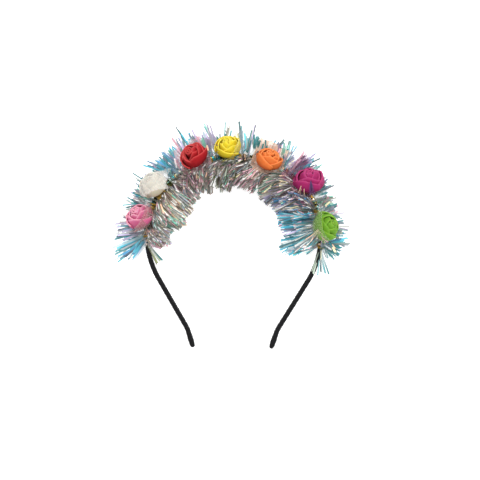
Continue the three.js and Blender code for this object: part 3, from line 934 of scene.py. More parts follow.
@dataclass
class Garland:
    """The tinsel garland: film wound on the hoop, and the strips that stand out from it.

    Lengths are in millimetres and angles in degrees. A place is in degrees round the hoop, from the
    right-hand side over the crown. A pair of numbers is a range for a random choice.
    """

    left: float = 186.0
    right: float = -9.0
    gap: float = 0.3
    wall: float = 1.2
    root_depth: float = 0.5
    root_reach: float = 4.4  # most from the hoop's centre line to a strip's root
    spread: float = 22.0
    end_lean: float = 35.0
    per_turn: int = 5
    step: float = 7.0
    turn_on: float = 137.5  # from the first tuft of one turn to that of the next
    shortest: float = 0.88  # share of the film's length that the shortest tuft has
    longer: float = 0.2
    splay: float = 0.8
    steepest: float = 0.98
    floor_gap: float = 0.8
    near_end: int = 2  # turns at each end whose tufts lean on towards the leg
    lean_series: int = 500  # where the scatter of the leans starts
    end_series: int = 900
    outer_from: float = -0.1  # cosine of the way round from which a strip counts as an outer one
    facing_from: float = 0.6  # sine of the way round from which it faces the front
    clumps: int = 7
    clump_scatter: tuple[float, float, float] = (2.0, 22.0, 9.0)  # of place, way round, and lean
    strip_scatter: tuple[float, float, float] = (0.5, 4.0, 6.0)
    outer_clump: tuple[float, float] = (0.66, 1.1)  # shares of a tuft's length
    inner_clump: tuple[float, float] = (0.8, 1.08)
    outer_trim: tuple[float, float] = (0.78, 1.04)  # shares of a clump's length
    inner_trim: tuple[float, float] = (0.9, 1.0)
    outer_strips: int = 2
    inner_strips: int = 14
    strips: tuple[float, float] = (0.5, 1.6)
    outer_share: float = 0.95
    facing_share: float = 0.6
    crown: tuple[float, float, float] = (90, 16, 0.85)  # place, reach and share of the outer strips
    right_end: tuple[float, float] = (8, 0.35)  # place and share of the inner strips below it
    inner_comb: float = 0.65  # share of its lean that an inner strip keeps
    inner_stretch: float = 0.14
    curl: float = 0.05  # bend at the tip out of the strip's plane, as a share of its length
    sway: float = 0.035  # bend in its plane
    turn: float = 0.3  # radians that its root is turned
    twist: float = 0.2  # radians that its tip is turned further
    outer_width: float = 1.2
    inner_width: float = 0.75
    widths: tuple[float, float] = (0.75, 1.25)
    # scales of each strip's colours: painted light and shade, darker and lighter copies of one tone
    outer_shade: tuple[float, float] = (0.75, 1.25)
    inner_shades: tuple[float, ...] = (0.45, 0.85, 1.05, 1.7)
    inner_waver: tuple[float, float] = (0.85, 1.15)
    outer_clear: float = 0.3
    inner_clear: float = 0.7
    clear_waver: tuple[float, float] = (-0.15, 0.15)
    outer_glints: float = 0.08  # share of the strips with a glint
    inner_glints: float = 0.3
    glint_place: tuple[float, float] = (0.2, 0.9)  # shares of a strip's length
    glint_span: tuple[float, float] = (0.08, 0.26)
    no_glint: float = 9.0  # a place past the end of any strip
    inner_end: float = 9.0
    fan_start: tuple[float, float] = (-1.5, 1.5)
    fan_slot: tuple[float, float] = (0.2, 0.8)
    fan_longest: float = 1.02
    fan_shorter: float = 0.12
    fan_rise: float = 2.5
    fan_bend: float = 0.02
    # painted light and shade on the fans' strips: darker and lighter copies, some lit towards pearl
    fan_shades: tuple[float, ...] = (0.35, 0.8, 1.1, 1.6)
    fan_lit: float = 0.3
    fan_light: tuple[float, float] = (0.3, 0.8)
    fan_pale: float = 0.4  # share of silver in the colour at a fan's root
    fan_clear: float = 0.45
    fan_width: tuple[float, float] = (0.9, 1.7)
    stray_fan: float = 12.0
    stray_scatter: float = 2.0
    stray_waver: float = 0.06
    stray_lift: float = 1.4
    stray_shade: tuple[float, float] = (0.5, 1.0)
    stray_clear: float = 0.75
    stray_width: tuple[float, float] = (0.4, 0.7)
    root_mixed: float = 0.6  # share of the strips whose root has a colour of the inner mix
    cluster_root: float = 0.5
    segments: int = 6
    table_gap: float = 0.3
    wound_pitch: float = 2.6
    wound_width: float = 1.35
    wound_steps: int = 22  # for each turn
    wound_patch: int = 9  # steps of one colour
    wound_lift: float = 0.25
    wound_layer: float = 0.45  # from one layer to the next
    wound_waver: float = 0.12
    wound_ways: tuple[tuple[float, float], ...] = ((1.0, 0.0), (-0.83, 1.3))  # turns, start
    wound_tones: tuple[Tone, ...] = (
        Tone.GOLD, Tone.OLIVE, Tone.SAGE, Tone.GOLD, Tone.PEACH, Tone.TEAL, Tone.GOLD)
    seed: int = 7
    lengths: tuple[str, ...] = ("right", "upper_right", "upper_left", "left")
    film_lengths: tuple[tuple[float, float, float], ...] = (  # place, length outwards and inwards
        (-9, 16, 22), (20, 13.5, 27.5), (42, 18, 25.5), (68, 15, 21.5), (80, 19, 22.5), (90, 22, 22),
        (110, 23, 18.5), (120, 23.5, 11.5), (129, 20, 20.5), (140, 18, 24), (160, 19, 23),
        (172, 20.5, 16.5), (186, 20.5, 9))
    inner_sweep: tuple[tuple[float, float], ...] = (  # place, lean of the inner strips along the hoop
        (-9, -6), (6, -6), (18, 18), (60, 24), (95, 20), (115, 16), (128, 2), (140, 0), (148, 14),
        (156, 26), (170, 24), (186, 6))
    inner_light: tuple[tuple[float, float], ...] = (  # place, brightness of the inner strips: painted shade, darkest under the crown
        (10, 1.08), (30, 0.95), (75, 0.82), (115, 0.82), (140, 1.08), (165, 1.2))
    strays: tuple[Stray, ...] = (
        Stray(5, (-85, 0.75), (-95, 0.05), Tone.PURPLE, 7),
        Stray(5, (-122, 0.98), (-136, 0.6), Tone.PEACH, 3),
        Stray(3, (-172, 1.0), (-165, 0.7), Tone.OLIVE, 1),
        Stray(6, (-140, 1.0), (-150, 0.5), Tone.STRAW, 5),
        Stray(6, (-95, 1.0), (-120, 0.65), Tone.PINK, 3),
        Stray(0, (-10, 1.0), (10, 0.6), Tone.TAUPE, 4))
    fans: tuple[Fan, ...] = (
        Fan(182, 190, 87, 3.5, 14, (Tone.CYAN, Tone.BLUE, Tone.TEAL)),
        Fan(184, 192, 78, 3, 9, (Tone.CYAN, Tone.BLUE, Tone.PEARL)),
        Fan(180, 186, 87, 2, 7, (Tone.BLUE, Tone.CYAN, Tone.TEAL)),
        Fan(178, 181, 86, 2.5, 9, (Tone.LILAC, Tone.STEEL, Tone.TEAL)),
        Fan(172, 174, 85, 5, 14, (Tone.SILVER, Tone.LILAC, Tone.TEAL)),
        Fan(158, 165, 82, 1, 3, (Tone.PINK, Tone.TEAL)),
        Fan(156, 158, 78, 1, 3, (Tone.BLUE, Tone.TEAL)),
        Fan(151, 149, 85, 1.5, 5, (Tone.STEEL, Tone.TEAL)),
        Fan(133, 139, 82, 3.5, 13, (Tone.CYAN, Tone.TEAL, Tone.BLUE)),
        Fan(130, 134, 76, 3, 9, (Tone.CYAN, Tone.LILAC, Tone.BLUE)),
        Fan(127, 130, 81, 1.5, 5, (Tone.LILAC, Tone.STEEL)),
        Fan(120, 122, 82, 2, 5, (Tone.PINK, Tone.LILAC)),
        Fan(116, 118, 88, 0.7, 3, (Tone.TEAL, Tone.CYAN)),
        Fan(109, 113, 81, 1.5, 5, (Tone.LILAC, Tone.STEEL)),
        Fan(106, 107, 77, 2, 6, (Tone.STEEL, Tone.MINT, Tone.LILAC)),
        Fan(102, 103, 82, 1.5, 4, (Tone.STEEL, Tone.LILAC)),
        Fan(97, 93, 80.5, 2.5, 7, (Tone.SILVER, Tone.STEEL, Tone.TEAL)),
        Fan(83, 86, 81.5, 1.5, 3, (Tone.TEAL, Tone.STEEL)),
        Fan(81, 82, 75, 2, 5, (Tone.TEAL, Tone.CYAN)),
        Fan(79, 79, 83, 0.7, 3, (Tone.LILAC, Tone.STEEL)),
        Fan(67, 63, 77, 2, 5, (Tone.TEAL, Tone.BLUE)),
        Fan(53, 58, 79, 3.5, 12, (Tone.CYAN, Tone.TEAL, Tone.MINT)),
        Fan(48, 49, 78, 1, 3, (Tone.TEAL, Tone.PINK)),
        Fan(48, 43, 83, 2.5, 10, (Tone.CYAN, Tone.TEAL, Tone.LILAC)),
        Fan(30, 28, 80, 2, 5, (Tone.TEAL, Tone.MINT)),
        Fan(23, 20, 76, 3, 15, (Tone.SAGE, Tone.MINT, Tone.SILVER)),
        Fan(14, 10, 80, 1.5, 6, (Tone.LILAC, Tone.STEEL, Tone.TEAL)),
        Fan(-6, -3.5, 83, 2.2, 12, (Tone.TEAL, Tone.CYAN, Tone.BLUE)),
        Fan(-6, -8, 78, 1.2, 5, (Tone.STEEL, Tone.TEAL)),
        Fan(-8, -25.5, 66, 0.7, 3, (Tone.TEAL, Tone.SAGE), 4.0),
        Fan(-8, -23, 73, 0.6, 3, (Tone.TEAL, Tone.STEEL), 4.0),
        Fan(185, 200, 59, 1, 5, (Tone.TEAL, Tone.SAGE, Tone.OLIVE), 5.0),
        Fan(2, -12, 37, 8, 15, (Tone.CYAN, Tone.TEAL, Tone.CYAN, Tone.CYAN)),
        Fan(-3, -17, 42, 5, 10, (Tone.CYAN, Tone.CYAN, Tone.LILAC)),
        Fan(6, 4, 37, 6, 8, (Tone.LILAC, Tone.CYAN)),
        Fan(184, 188, 53, 2.5, 6, (Tone.PINK, Tone.PEACH), 6.0))
    clusters: tuple[Cluster, ...] = (
        Cluster(186, 9, Side.OUTWARDS, Tone.CYAN, 0.8),
        Cluster(129, 8, Side.OUTWARDS, Tone.BLUE, 0.5),
        Cluster(129, 8, Side.OUTWARDS, Tone.CYAN, 0.5),
        Cluster(102, 7, Side.OUTWARDS, Tone.LILAC, 0.4),
        Cluster(76, 7, Side.OUTWARDS, Tone.TEAL, 0.5),
        Cluster(50, 8, Side.OUTWARDS, Tone.LILAC, 0.5),
        Cluster(3, 13, Side.INWARDS, Tone.CYAN, 0.6),
        Cluster(2, 11, Side.INWARDS, Tone.PEARL, 0.2),
        Cluster(-8, 8, Side.OUTWARDS, Tone.TEAL, 0.7),
        Cluster(186, 6, Side.INWARDS, Tone.PINK, 0.3),
        Cluster(172, 9, Side.INWARDS, Tone.LILAC, 0.2),
        Cluster(158, 10, Side.INWARDS, Tone.MINT, 0.3),
        Cluster(150, 8, Side.INWARDS, Tone.PEACH, 0.17),
        Cluster(150, 8, Side.INWARDS, Tone.STRAW, 0.1),
        Cluster(130, 7, Side.INWARDS, Tone.PINK, 0.35),
        Cluster(112, 8, Side.INWARDS, Tone.TAUPE, 0.5),
        Cluster(93, 8, Side.INWARDS, Tone.OLIVE, 0.2),
        Cluster(69, 9, Side.INWARDS, Tone.PINK, 0.28),
        Cluster(118, 8, Side.INWARDS, Tone.PINK, 0.2),
        Cluster(54, 7, Side.INWARDS, Tone.MINT, 0.3),
        Cluster(36, 12, Side.INWARDS, Tone.LILAC, 0.3),
        Cluster(24, 13, Side.INWARDS, Tone.BLUE, 0.26),
        Cluster(8, 6, Side.INWARDS, Tone.CYAN, 0.3))

    @property
    def film(self) -> float:
        """How far the winding's outside lies over the hoop's section."""
        return self.gap + self.wall

    @staticmethod
    def scatter(n: Array) -> Array:
        """Return an even scatter from 0 to 1 that is the same on every run."""
        value = np.sin(np.asarray(n, dtype=float) * 12.9898 + 4.1414) * 43758.5453
        return value - np.floor(value)

    @staticmethod
    def by_place(place: Array, table: tuple[tuple[float, ...], ...], column: int = 1) -> Array:
        """Return what a column of a table gives at places round the hoop.

        Args:
            place: Degrees round the hoop.
            table: Rows that start with a place.
            column: The column wanted.

        Returns:
            The values, straight between the rows.
        """
        columns = np.array(table).T
        return np.interp(place, columns[0], columns[column])

    def tufts(self) -> dict[str, Array]:
        """Lay out the tufts.

        Returns:
            For each tuft its place round the hoop, its angle round the section, and its lean along
            the hoop, all in degrees, and its length in millimetres.
        """
        turns = round((self.left - self.right) / self.step) - 1
        rows = []
        for t in range(turns + 1):
            place = self.right + self.step / 2 + (self.left - self.right - self.step) * t / turns
            outward, inward = (self.by_place(place, self.film_lengths, side) for side in (1, 2))
            to_end = -1 if t < self.near_end else 1 if t > turns - self.near_end else 0
            for k in range(self.per_turn):
                n = t * self.per_turn + k
                around = (t * self.turn_on + 360 * k / self.per_turn) % 360
                full = outward + (inward - outward) * (1 - math.cos(math.radians(around))) / 2
                length = full * (self.shortest + self.longer * self.scatter(n))
                lean = (self.scatter(n + self.lean_series) * 2 - 1) * self.spread
                lean = lean + to_end * self.end_lean * self.scatter(n + self.end_series)
                rows.append((place, around, lean, length))
        return dict(zip(("place", "around", "lean", "length"), np.array(rows).T))

    def strip_layout(self, hoop: Hoop, roses: list[tuple[Array, float]]) -> dict[str, Array]:
        """Lay out every strip of film.

        Args:
            hoop: The hoop under the garland.
            roses: The middle of each rose in the hoop's plane, and the radius to keep clear.

        Returns:
            For each strip its root, direction, width direction, length, curl, twist and colours.
        """
        rng = np.random.default_rng(self.seed)
        tufts = {key: np.repeat(value, self.clumps) for key, value in self.tufts().items()}
        count = len(tufts["place"])
        for key, scatter in zip(("place", "around", "lean"), self.clump_scatter):
            tufts[key] = tufts[key] + rng.normal(0, scatter, count)
        outer = np.cos(np.radians(tufts["around"])) > self.outer_from
        facing = np.sin(np.radians(tufts["around"])) > self.facing_from
        tufts["length"] = tufts["length"] * np.where(
            outer, rng.uniform(*self.outer_clump, count), rng.uniform(*self.inner_clump, count))
        number = np.where(outer, self.outer_strips, self.inner_strips)
        number = np.where(facing, number * self.facing_share, number)
        number = number * rng.uniform(*self.strips, count)
        number = np.where(outer & (rng.random(count) > self.outer_share), 0, number)
        top, near, share = self.crown
        number = np.where(outer & (np.abs(tufts["place"] - top) < near), number * share, number)
        below, share = self.right_end
        number = np.where(~outer & (tufts["place"] < below), number * share, number)
        number = np.round(number).astype(int)
        clump = np.repeat(np.arange(count), number)
        count = len(clump)
        outer = outer[clump]
        shift, swing, tilt = self.strip_scatter
        place = np.clip(tufts["place"][clump] + rng.normal(0, shift, count), self.right, self.left)
        around = np.radians(tufts["around"][clump] + rng.normal(0, swing, count))
        lean = np.radians(tufts["lean"][clump] + rng.uniform(-tilt, tilt, count))
        length = tufts["length"][clump] * np.where(
            outer, rng.uniform(*self.outer_trim, count), rng.uniform(*self.inner_trim, count))
        swept = np.where(outer, 0.0, np.radians(self.by_place(place, self.inner_sweep)))
        lean = np.where(outer, lean, lean * self.inner_comb) + swept
        length = length * (1 + self.inner_stretch * np.sin(np.abs(swept)))
        point, out = hoop.at(place)
        along = -np.cross(out, UP)
        straight = out * np.cos(around)[:, None] + UP * np.sin(around)[:, None]
        reach = hoop.reach(around, self.film) - self.root_depth
        root = point + straight * np.minimum(reach, self.root_reach)[:, None]
        straight = turned(straight, unit(np.cross(straight, along)), lean)
        aim = self.off_the_table(hoop, straight, root, out, length)
        side = unit(along - aim * np.sum(along * aim, axis=1, keepdims=True) + 1e-6)
        tip = root + aim * length[:, None]
        past = np.degrees(np.arctan2(-tip[:, 1], -tip[:, 0]))
        keep = outer | (past < self.inner_end) | (tip[:, 0] > 0)
        for middle, radius in roses:
            share = np.clip(np.sum((middle - root) * aim, axis=1) / length, 0, 1)
            nearest = root + aim * (share * length)[:, None]
            keep &= np.linalg.norm(nearest - middle, axis=1) > radius
        tint_a, tint_b = self.tints(place, outer, rng)
        # painted light and shade: each strip's colours are scaled darker or lighter, the inner ones also
        # by their place round the hoop
        outer_shade = rng.uniform(*self.outer_shade, (count, 1))
        inner_shade = rng.choice(self.inner_shades, (count, 1))
        inner_shade = inner_shade * rng.uniform(*self.inner_waver, (count, 1))
        shade = np.where(outer[:, None], outer_shade, inner_shade)
        shade = shade * np.where(outer, 1.0, self.by_place(place, self.inner_light))[:, None]
        width = np.where(outer, self.outer_width, self.inner_width) / 1000
        layout = {
            "root": hoop.world(root), "aim": hoop.lean(aim), "side": hoop.lean(side),
            "reach": length / 1000, "curl": rng.normal(0, self.curl, count),
            "sway": rng.normal(0, self.sway, count), "turn": rng.normal(0, self.turn, count),
            "twist": rng.normal(0, self.twist, count), "slant": rng.uniform(-1, 1, count),
            "breadth": width * rng.uniform(*self.widths, count), "place": place,
            # painted glints: some strips take a glint colour over a stretch of their length
            "glint": np.where(rng.random(count) < np.where(outer, self.outer_glints, self.inner_glints),
                              rng.uniform(*self.glint_place, count), self.no_glint),
            "glint_span": rng.uniform(*self.glint_span, count),
            "clear": (np.where(outer, self.outer_clear, self.inner_clear)
                      + rng.uniform(*self.clear_waver, count)),
            "tint_glint": picked(GLINTS, count, rng),
            "tint_a": np.clip(tint_a * shade, 0, 1),
            "tint_b": np.clip(tint_b * shade, 0, 1)}
        kept = {key: value[keep] for key, value in layout.items()}
        for fan in self.fans:
            extra = self.fan_layout(fan, hoop, kept, rng)
            kept = {key: np.concatenate([value, extra[key]]) for key, value in kept.items()}
        for stray in self.strays:
            extra = self.stray_layout(stray, hoop, roses[stray.rose], kept, rng)
            kept = {key: np.concatenate([value, extra[key]]) for key, value in kept.items()}
        return kept

    def fan_layout(self, fan: Fan, hoop: Hoop, like: dict[str, Array],
                   rng: np.random.Generator) -> dict[str, Array]:
        """Lay out the strips of one fan.

        Args:
            fan: Where its strips start and end.
            hoop: The hoop under the garland.
            like: The values of the other strips, some of which these take over.
            rng: The source of the random choices.

        Returns:
            The values of each strip, by name.
        """
        count = fan.count
        pick = rng.integers(0, len(like["place"]), count)
        layout = {key: value[pick] for key, value in like.items()}
        start = np.radians(fan.start + rng.uniform(*self.fan_start, count))
        place = np.degrees(np.arctan2(np.sin(start) / hoop.rise, np.cos(start) / hoop.half_width))
        place = np.clip(place % 360 - 360 * (place % 360 > 270), self.right, self.left)
        root, out = hoop.at(place)
        even = (np.arange(count) + rng.uniform(*self.fan_slot, count)) / count * 2 - 1
        end = np.radians(fan.end + fan.spread * even)
        away = fan.away * (self.fan_longest - self.fan_shorter * rng.permutation(count) / count)
        tip = spun(away, end, fan.over + rng.normal(0, self.fan_rise, count))
        root = root + UP * rng.uniform(-1, hoop.width / 2 + self.film, count)[:, None]
        reach = np.linalg.norm(tip - root, axis=1)
        aim = unit(tip - root)
        side = unit(np.cross(UP, aim))
        table = np.array([tone.value for tone in fan.tones])
        # painted light and shade: darker and lighter copies of each tone, and some strips lit towards
        # pearl
        tint = table[rng.integers(0, len(table), count)] * rng.choice(self.fan_shades, (count, 1))
        lit = rng.random((count, 1)) < self.fan_lit
        light = np.where(lit, rng.uniform(*self.fan_light, (count, 1)), 0.0) * (fan.spread > 1)
        tint = np.clip(tint + light * (np.array(Tone.PEARL.value) - tint), 0, 1)
        pale = (1 - self.fan_pale) * tint + self.fan_pale * np.array(Tone.SILVER.value)
        layout.update({
            "root": hoop.world(root), "aim": hoop.lean(aim), "side": hoop.lean(side),
            "reach": reach / 1000, "turn": rng.normal(0, self.turn, count), "place": place,
            "twist": rng.normal(0, self.twist, count), "curl": rng.normal(0, self.fan_bend, count),
            "sway": rng.normal(0, self.fan_bend, count), "tint_a": pale, "tint_b": tint,
            "breadth": rng.uniform(*self.fan_width, count) / 1000,
            "clear": np.full(count, self.fan_clear), "glint": np.full(count, self.no_glint)})
        return layout

    def stray_layout(self, stray: Stray, hoop: Hoop, rose: tuple[Array, float],
                     like: dict[str, Array], rng: np.random.Generator) -> dict[str, Array]:
        """Lay out strips that lie across a rose.

        Args:
            stray: Where they lie.
            hoop: The hoop under the garland.
            rose: The rose's middle in the hoop's plane, and the radius to keep clear.
            like: The values of the other strips, some of which these take over.
            rng: The source of the random choices.

        Returns:
            The values of each strip, by name.
        """
        middle, radius = rose
        count = stray.count
        pick = rng.integers(0, len(like["place"]), count)
        layout = {key: value[pick] for key, value in like.items()}
        ends = []
        fanned = np.linspace(-self.stray_fan, self.stray_fan, count)
        for angle, share in (stray.start, stray.end):
            turn = np.radians(angle + fanned + rng.normal(0, self.stray_scatter, count))
            flat = np.clip(share + rng.normal(0, self.stray_waver, count), 0, 1)
            ball = spun(flat, turn, np.sqrt(1 - flat ** 2))
            ends.append(middle + ball * (radius + self.stray_lift))
        length = np.linalg.norm(ends[1] - ends[0], axis=1)
        aim = unit(ends[1] - ends[0])
        side = unit(np.cross(UP + 1e-3, aim))
        tint = np.clip(np.array(stray.tone.value) * rng.uniform(*self.stray_shade, (count, 1)), 0, 1)
        places = np.linspace(self.right, self.left, 200)
        near = np.argmin(np.linalg.norm(hoop.at(places)[0] - middle, axis=1))
        layout.update({
            "root": hoop.world(ends[0]), "aim": hoop.lean(aim), "side": hoop.lean(side),
            "reach": length / 1000, "turn": rng.normal(0, self.turn, count), "tint_a": tint,
            "tint_b": tint, "clear": np.full(count, self.stray_clear),
            "glint": np.full(count, self.no_glint), "curl": np.zeros(count), "sway": np.zeros(count),
            "breadth": rng.uniform(*self.stray_width, count) / 1000,
            "place": np.full(count, places[near])})
        return layout

    def off_the_table(self, hoop: Hoop, straight: Array, root: Array, out: Array,
                      length: Array) -> Array:
        """Lay the strips that would go through the table down on it.

        Args:
            hoop: The hoop under the garland.
            straight: The directions that the strips would have.
            root: Where they start.
            out: Outward directions there.
            length: Their lengths.

        Returns:
            The directions that they have.
        """
        up = hoop.table_up()
        drop = np.clip((hoop.height(root) - self.floor_gap) / length, 0, self.steepest)
        fall = -straight @ up
        splay = out * np.where(np.sum(straight * out, axis=1) < 0, -1, 1)[:, None]
        level = straight + up * fall[:, None] + splay * self.splay
        level = unit(level - up * (level @ up)[:, None])
        laid = level * np.sqrt(1 - drop ** 2)[:, None] - up * drop[:, None]
        return np.where((fall > drop)[:, None], laid, straight)

    def tints(self, place: Array, outer: Array, rng: np.random.Generator) -> tuple[Array, Array]:
        """Choose the colours of each strip.

        Args:
            place: Degrees round the hoop.
            outer: Whether a strip stands outwards.
            rng: The source of the random choices.

        Returns:
            The colours at the root and at the tip.
        """
        tip = np.where(outer[:, None], picked(OUTER_MIX, len(place), rng),
                       picked(INNER_MIX, len(place), rng))
        mixed_root = (rng.random(len(place)) < self.root_mixed)[:, None]
        root = np.where(mixed_root, picked(INNER_MIX, len(place), rng), tip)
        for cluster in self.clusters:
            tone = np.array(cluster.tone.value)
            near = np.abs(place - cluster.place) < cluster.reach
            near &= outer == (cluster.side is Side.OUTWARDS)
            near &= rng.random(len(place)) < cluster.share
            tip = np.where(near[:, None], tone, tip)
            blend = root + self.cluster_root * (tone - root)
            root = np.where(near[:, None], blend, root)
        return root, tip

    def build(self, hoop: Hoop, roses: list[tuple[Array, float]], finish: "FilmFinish") -> None:
        """Build the strips of each length of the garland with Geometry Nodes.

        Args:
            hoop: The hoop under the garland.
            roses: The middle of each rose in the hoop's plane, and the radius to keep clear.
            finish: The film's finish.
        """
        layout = self.strip_layout(hoop, roses)
        share = (layout.pop("place") - self.right) / (self.left - self.right)
        length = np.minimum((share * len(self.lengths)).astype(int), len(self.lengths) - 1)
        tree = strip_tree()
        for index, name in enumerate(self.lengths):
            own = {key: values[length == index] for key, values in layout.items()}
            self.build_length(name, own, tree, finish)

    def build_length(self, name: str, layout: dict[str, Array], tree: bpy.types.NodeTree,
                     finish: "FilmFinish") -> bpy.types.Object:
        """Build the strips of one length of the garland.

        Args:
            name: The length's name.
            layout: The values of each strip, by name.
            tree: The node tree that grows the strips.
            finish: The film's finish.

        Returns:
            The finished piece.
        """
        seeds = bpy.data.meshes.new("strip_roots")
        seeds.from_pydata(layout["root"].tolist(), [], [])
        for key, values in layout.items():
            if key.startswith("tint"):
                paint(seeds, key, values)
            elif values.ndim == 2:
                seeds.attributes.new(key, "FLOAT_VECTOR", "POINT").data.foreach_set(
                    "vector", values.astype(np.float32).ravel())
            else:
                seeds.attributes.new(key, "FLOAT", "POINT").data.foreach_set(
                    "value", values.astype(np.float32))
        material = finish.material(f"tinsel_film_{name}")
        sizes = {"Segments": self.segments, "Table": self.table_gap / 1000, "Film": material}
        mesh = grown(seeds, tree, sizes)
        mesh.name = f"tinsel_strips_{name}"
        log.info("%d strips of film", len(layout["root"]))
        return finished(mesh, material, "tinsel_film", f"tinsel_{name}")

    def build_winding(self, hoop: Hoop, finish: "FilmFinish") -> bpy.types.Object:
        """Build the narrow film wound round the hoop under the strips.

        Args:
            hoop: The hoop under the garland.
            finish: The winding's finish.

        Returns:
            The finished piece.
        """
        rng = np.random.default_rng(self.seed + 3)
        point, _ = hoop.at(np.linspace(self.right, self.left, 400))
        length = np.linalg.norm(np.diff(point, axis=0), axis=1).sum()
        turns = length / self.wound_pitch
        steps = int(turns * self.wound_steps)
        t = np.linspace(0, 1, steps + 1)
        patch = np.arange(steps + 1) / self.wound_patch
        low = patch.astype(int)
        colours = np.array([tone.value for tone in self.wound_tones])
        points, faces, tints = [], [], []
        for layer, (way, first) in enumerate(self.wound_ways):
            angle = 2 * np.pi * turns * t * way + first
            lift = self.gap + self.wound_lift + self.wound_layer * layer
            lift = lift + self.wound_waver * np.sin(angle * 0.37)
            start = sum(len(p) for p in points)
            for edge in (-0.5, 0.5):
                share = np.clip(t + edge * self.wound_width / length, 0, 1)
                centre, out = hoop.at(self.right + (self.left - self.right) * share)
                across, deep = hoop.section(angle, np.array(1.0), np.array(1.0),
                                            lift + self.wound_waver * edge)
                points.append(centre + out * across[:, None] + UP * deep[:, None])
            n = steps + 1
            faces += [(start + i, start + i + 1, start + n + i + 1, start + n + i)
                      for i in range(steps)]
            table = colours[rng.integers(0, len(colours), steps // self.wound_patch + 2)]
            ease = ramp(patch - low, 0.3, 0.7)[:, None]
            tints.append(np.tile(table[low] + (table[low + 1] - table[low]) * ease, (2, 1)))
        mesh = bpy.data.meshes.new("tinsel_winding")
        mesh.from_pydata(hoop.world(np.concatenate(points)).tolist(), [], faces)
        paint(mesh, "tint_a", np.concatenate(tints))
        paint(mesh, "tint_b", np.concatenate(tints) * 0.8)
        even = {"span": 0.5, "tint_glint": 0.9, "glint": self.no_glint, "glint_span": 0.1, "clear": 1.0}
        for name, value in even.items():
            paint(mesh, name, np.full(len(mesh.vertices), value))
        return finished(mesh, finish.material("tinsel_winding_film"), "tinsel_film")


class Nodes:
    """A node tree with a short way to add nodes and join them."""

    def __init__(self, tree: bpy.types.NodeTree) -> None:
        """Keep the tree and empty it."""
        self.tree = tree
        tree.nodes.clear()

    def give(self, node: bpy.types.Node, sockets: dict[str | int, Any]) -> None:
        """Set a node's inputs.

        Args:
            node: The node.
            sockets: Values or sockets for its inputs, by name or place.
        """
        for key, value in sockets.items():
            if isinstance(value, bpy.types.NodeSocket):
                self.tree.links.new(value, node.inputs[key])
            else:
                node.inputs[key].default_value = value

    def add(self, kind: str, sockets: dict[str | int, Any] | None = None,
            **props: Any) -> bpy.types.Node:
        """Add a node.

        Args:
            kind: The node's type name.
            sockets: Values or sockets for its inputs, by name or place.
            **props: Properties of the node.

        Returns:
            The node.
        """
        node = self.tree.nodes.new(kind)
        for key, value in props.items():
            setattr(node, key, value)
        self.give(node, sockets or {})
        return node

    def maths(self, operation: str, a: Any, b: Any = 0.0) -> bpy.types.NodeSocket:
        """Add a sum on numbers and return its result."""
        return self.add("ShaderNodeMath", {0: a, 1: b}, operation=operation).outputs[0]

    def vectors(self, operation: str, a: Any, b: Any) -> bpy.types.NodeSocket:
        """Add a sum on vectors and return its result."""
        return self.add("ShaderNodeVectorMath", {0: a, 1: b}, operation=operation).outputs[0]

    def scaled(self, vector: Any, by: Any) -> bpy.types.NodeSocket:
        """Scale a vector and return it."""
        node = self.add("ShaderNodeVectorMath", {0: vector, "Scale": by}, operation="SCALE")
        return node.outputs[0]

    def mapped(self, value: Any, low: float, high: float, first: Any = 0.0,
               last: Any = 1.0) -> bpy.types.NodeSocket:
        """Map a number from the range low to high onto first to last, and return it."""
        sockets = {0: value, 1: low, 2: high, 3: first, 4: last}
        return self.add("ShaderNodeMapRange", sockets).outputs[0]

    def number(self, attribute: str) -> bpy.types.NodeSocket:
        """Return a mesh's painted number."""
        return self.add("ShaderNodeAttribute", attribute_name=attribute).outputs["Fac"]

    def painted(self, attribute: str) -> bpy.types.NodeSocket:
        """Return a mesh's painted colour."""
        return self.add("ShaderNodeAttribute", attribute_name=attribute).outputs["Color"]

    def place(self) -> bpy.types.NodeSocket:
        """Return the place on the object."""
        return self.add("ShaderNodeTexCoord").outputs["Object"]

    def cloth(self) -> bpy.types.NodeSocket:
        """Return the place on the flat cloth."""
        return self.add("ShaderNodeUVMap", uv_map="cloth").outputs[0]

    def noise(self, place: bpy.types.NodeSocket, scale: float, detail: float) -> bpy.types.NodeSocket:
        """Return cloudy noise at a place."""
        sockets = {"Vector": place, "Scale": scale, "Detail": detail}
        return self.add("ShaderNodeTexNoise", sockets).outputs["Fac"]

    def bump(self, height: bpy.types.NodeSocket, strength: float,
             distance: float) -> bpy.types.NodeSocket:
        """Return the normal of a bumpy surface."""
        sockets = {"Strength": strength, "Distance": distance, "Height": height}
        return self.add("ShaderNodeBump", sockets).outputs[0]


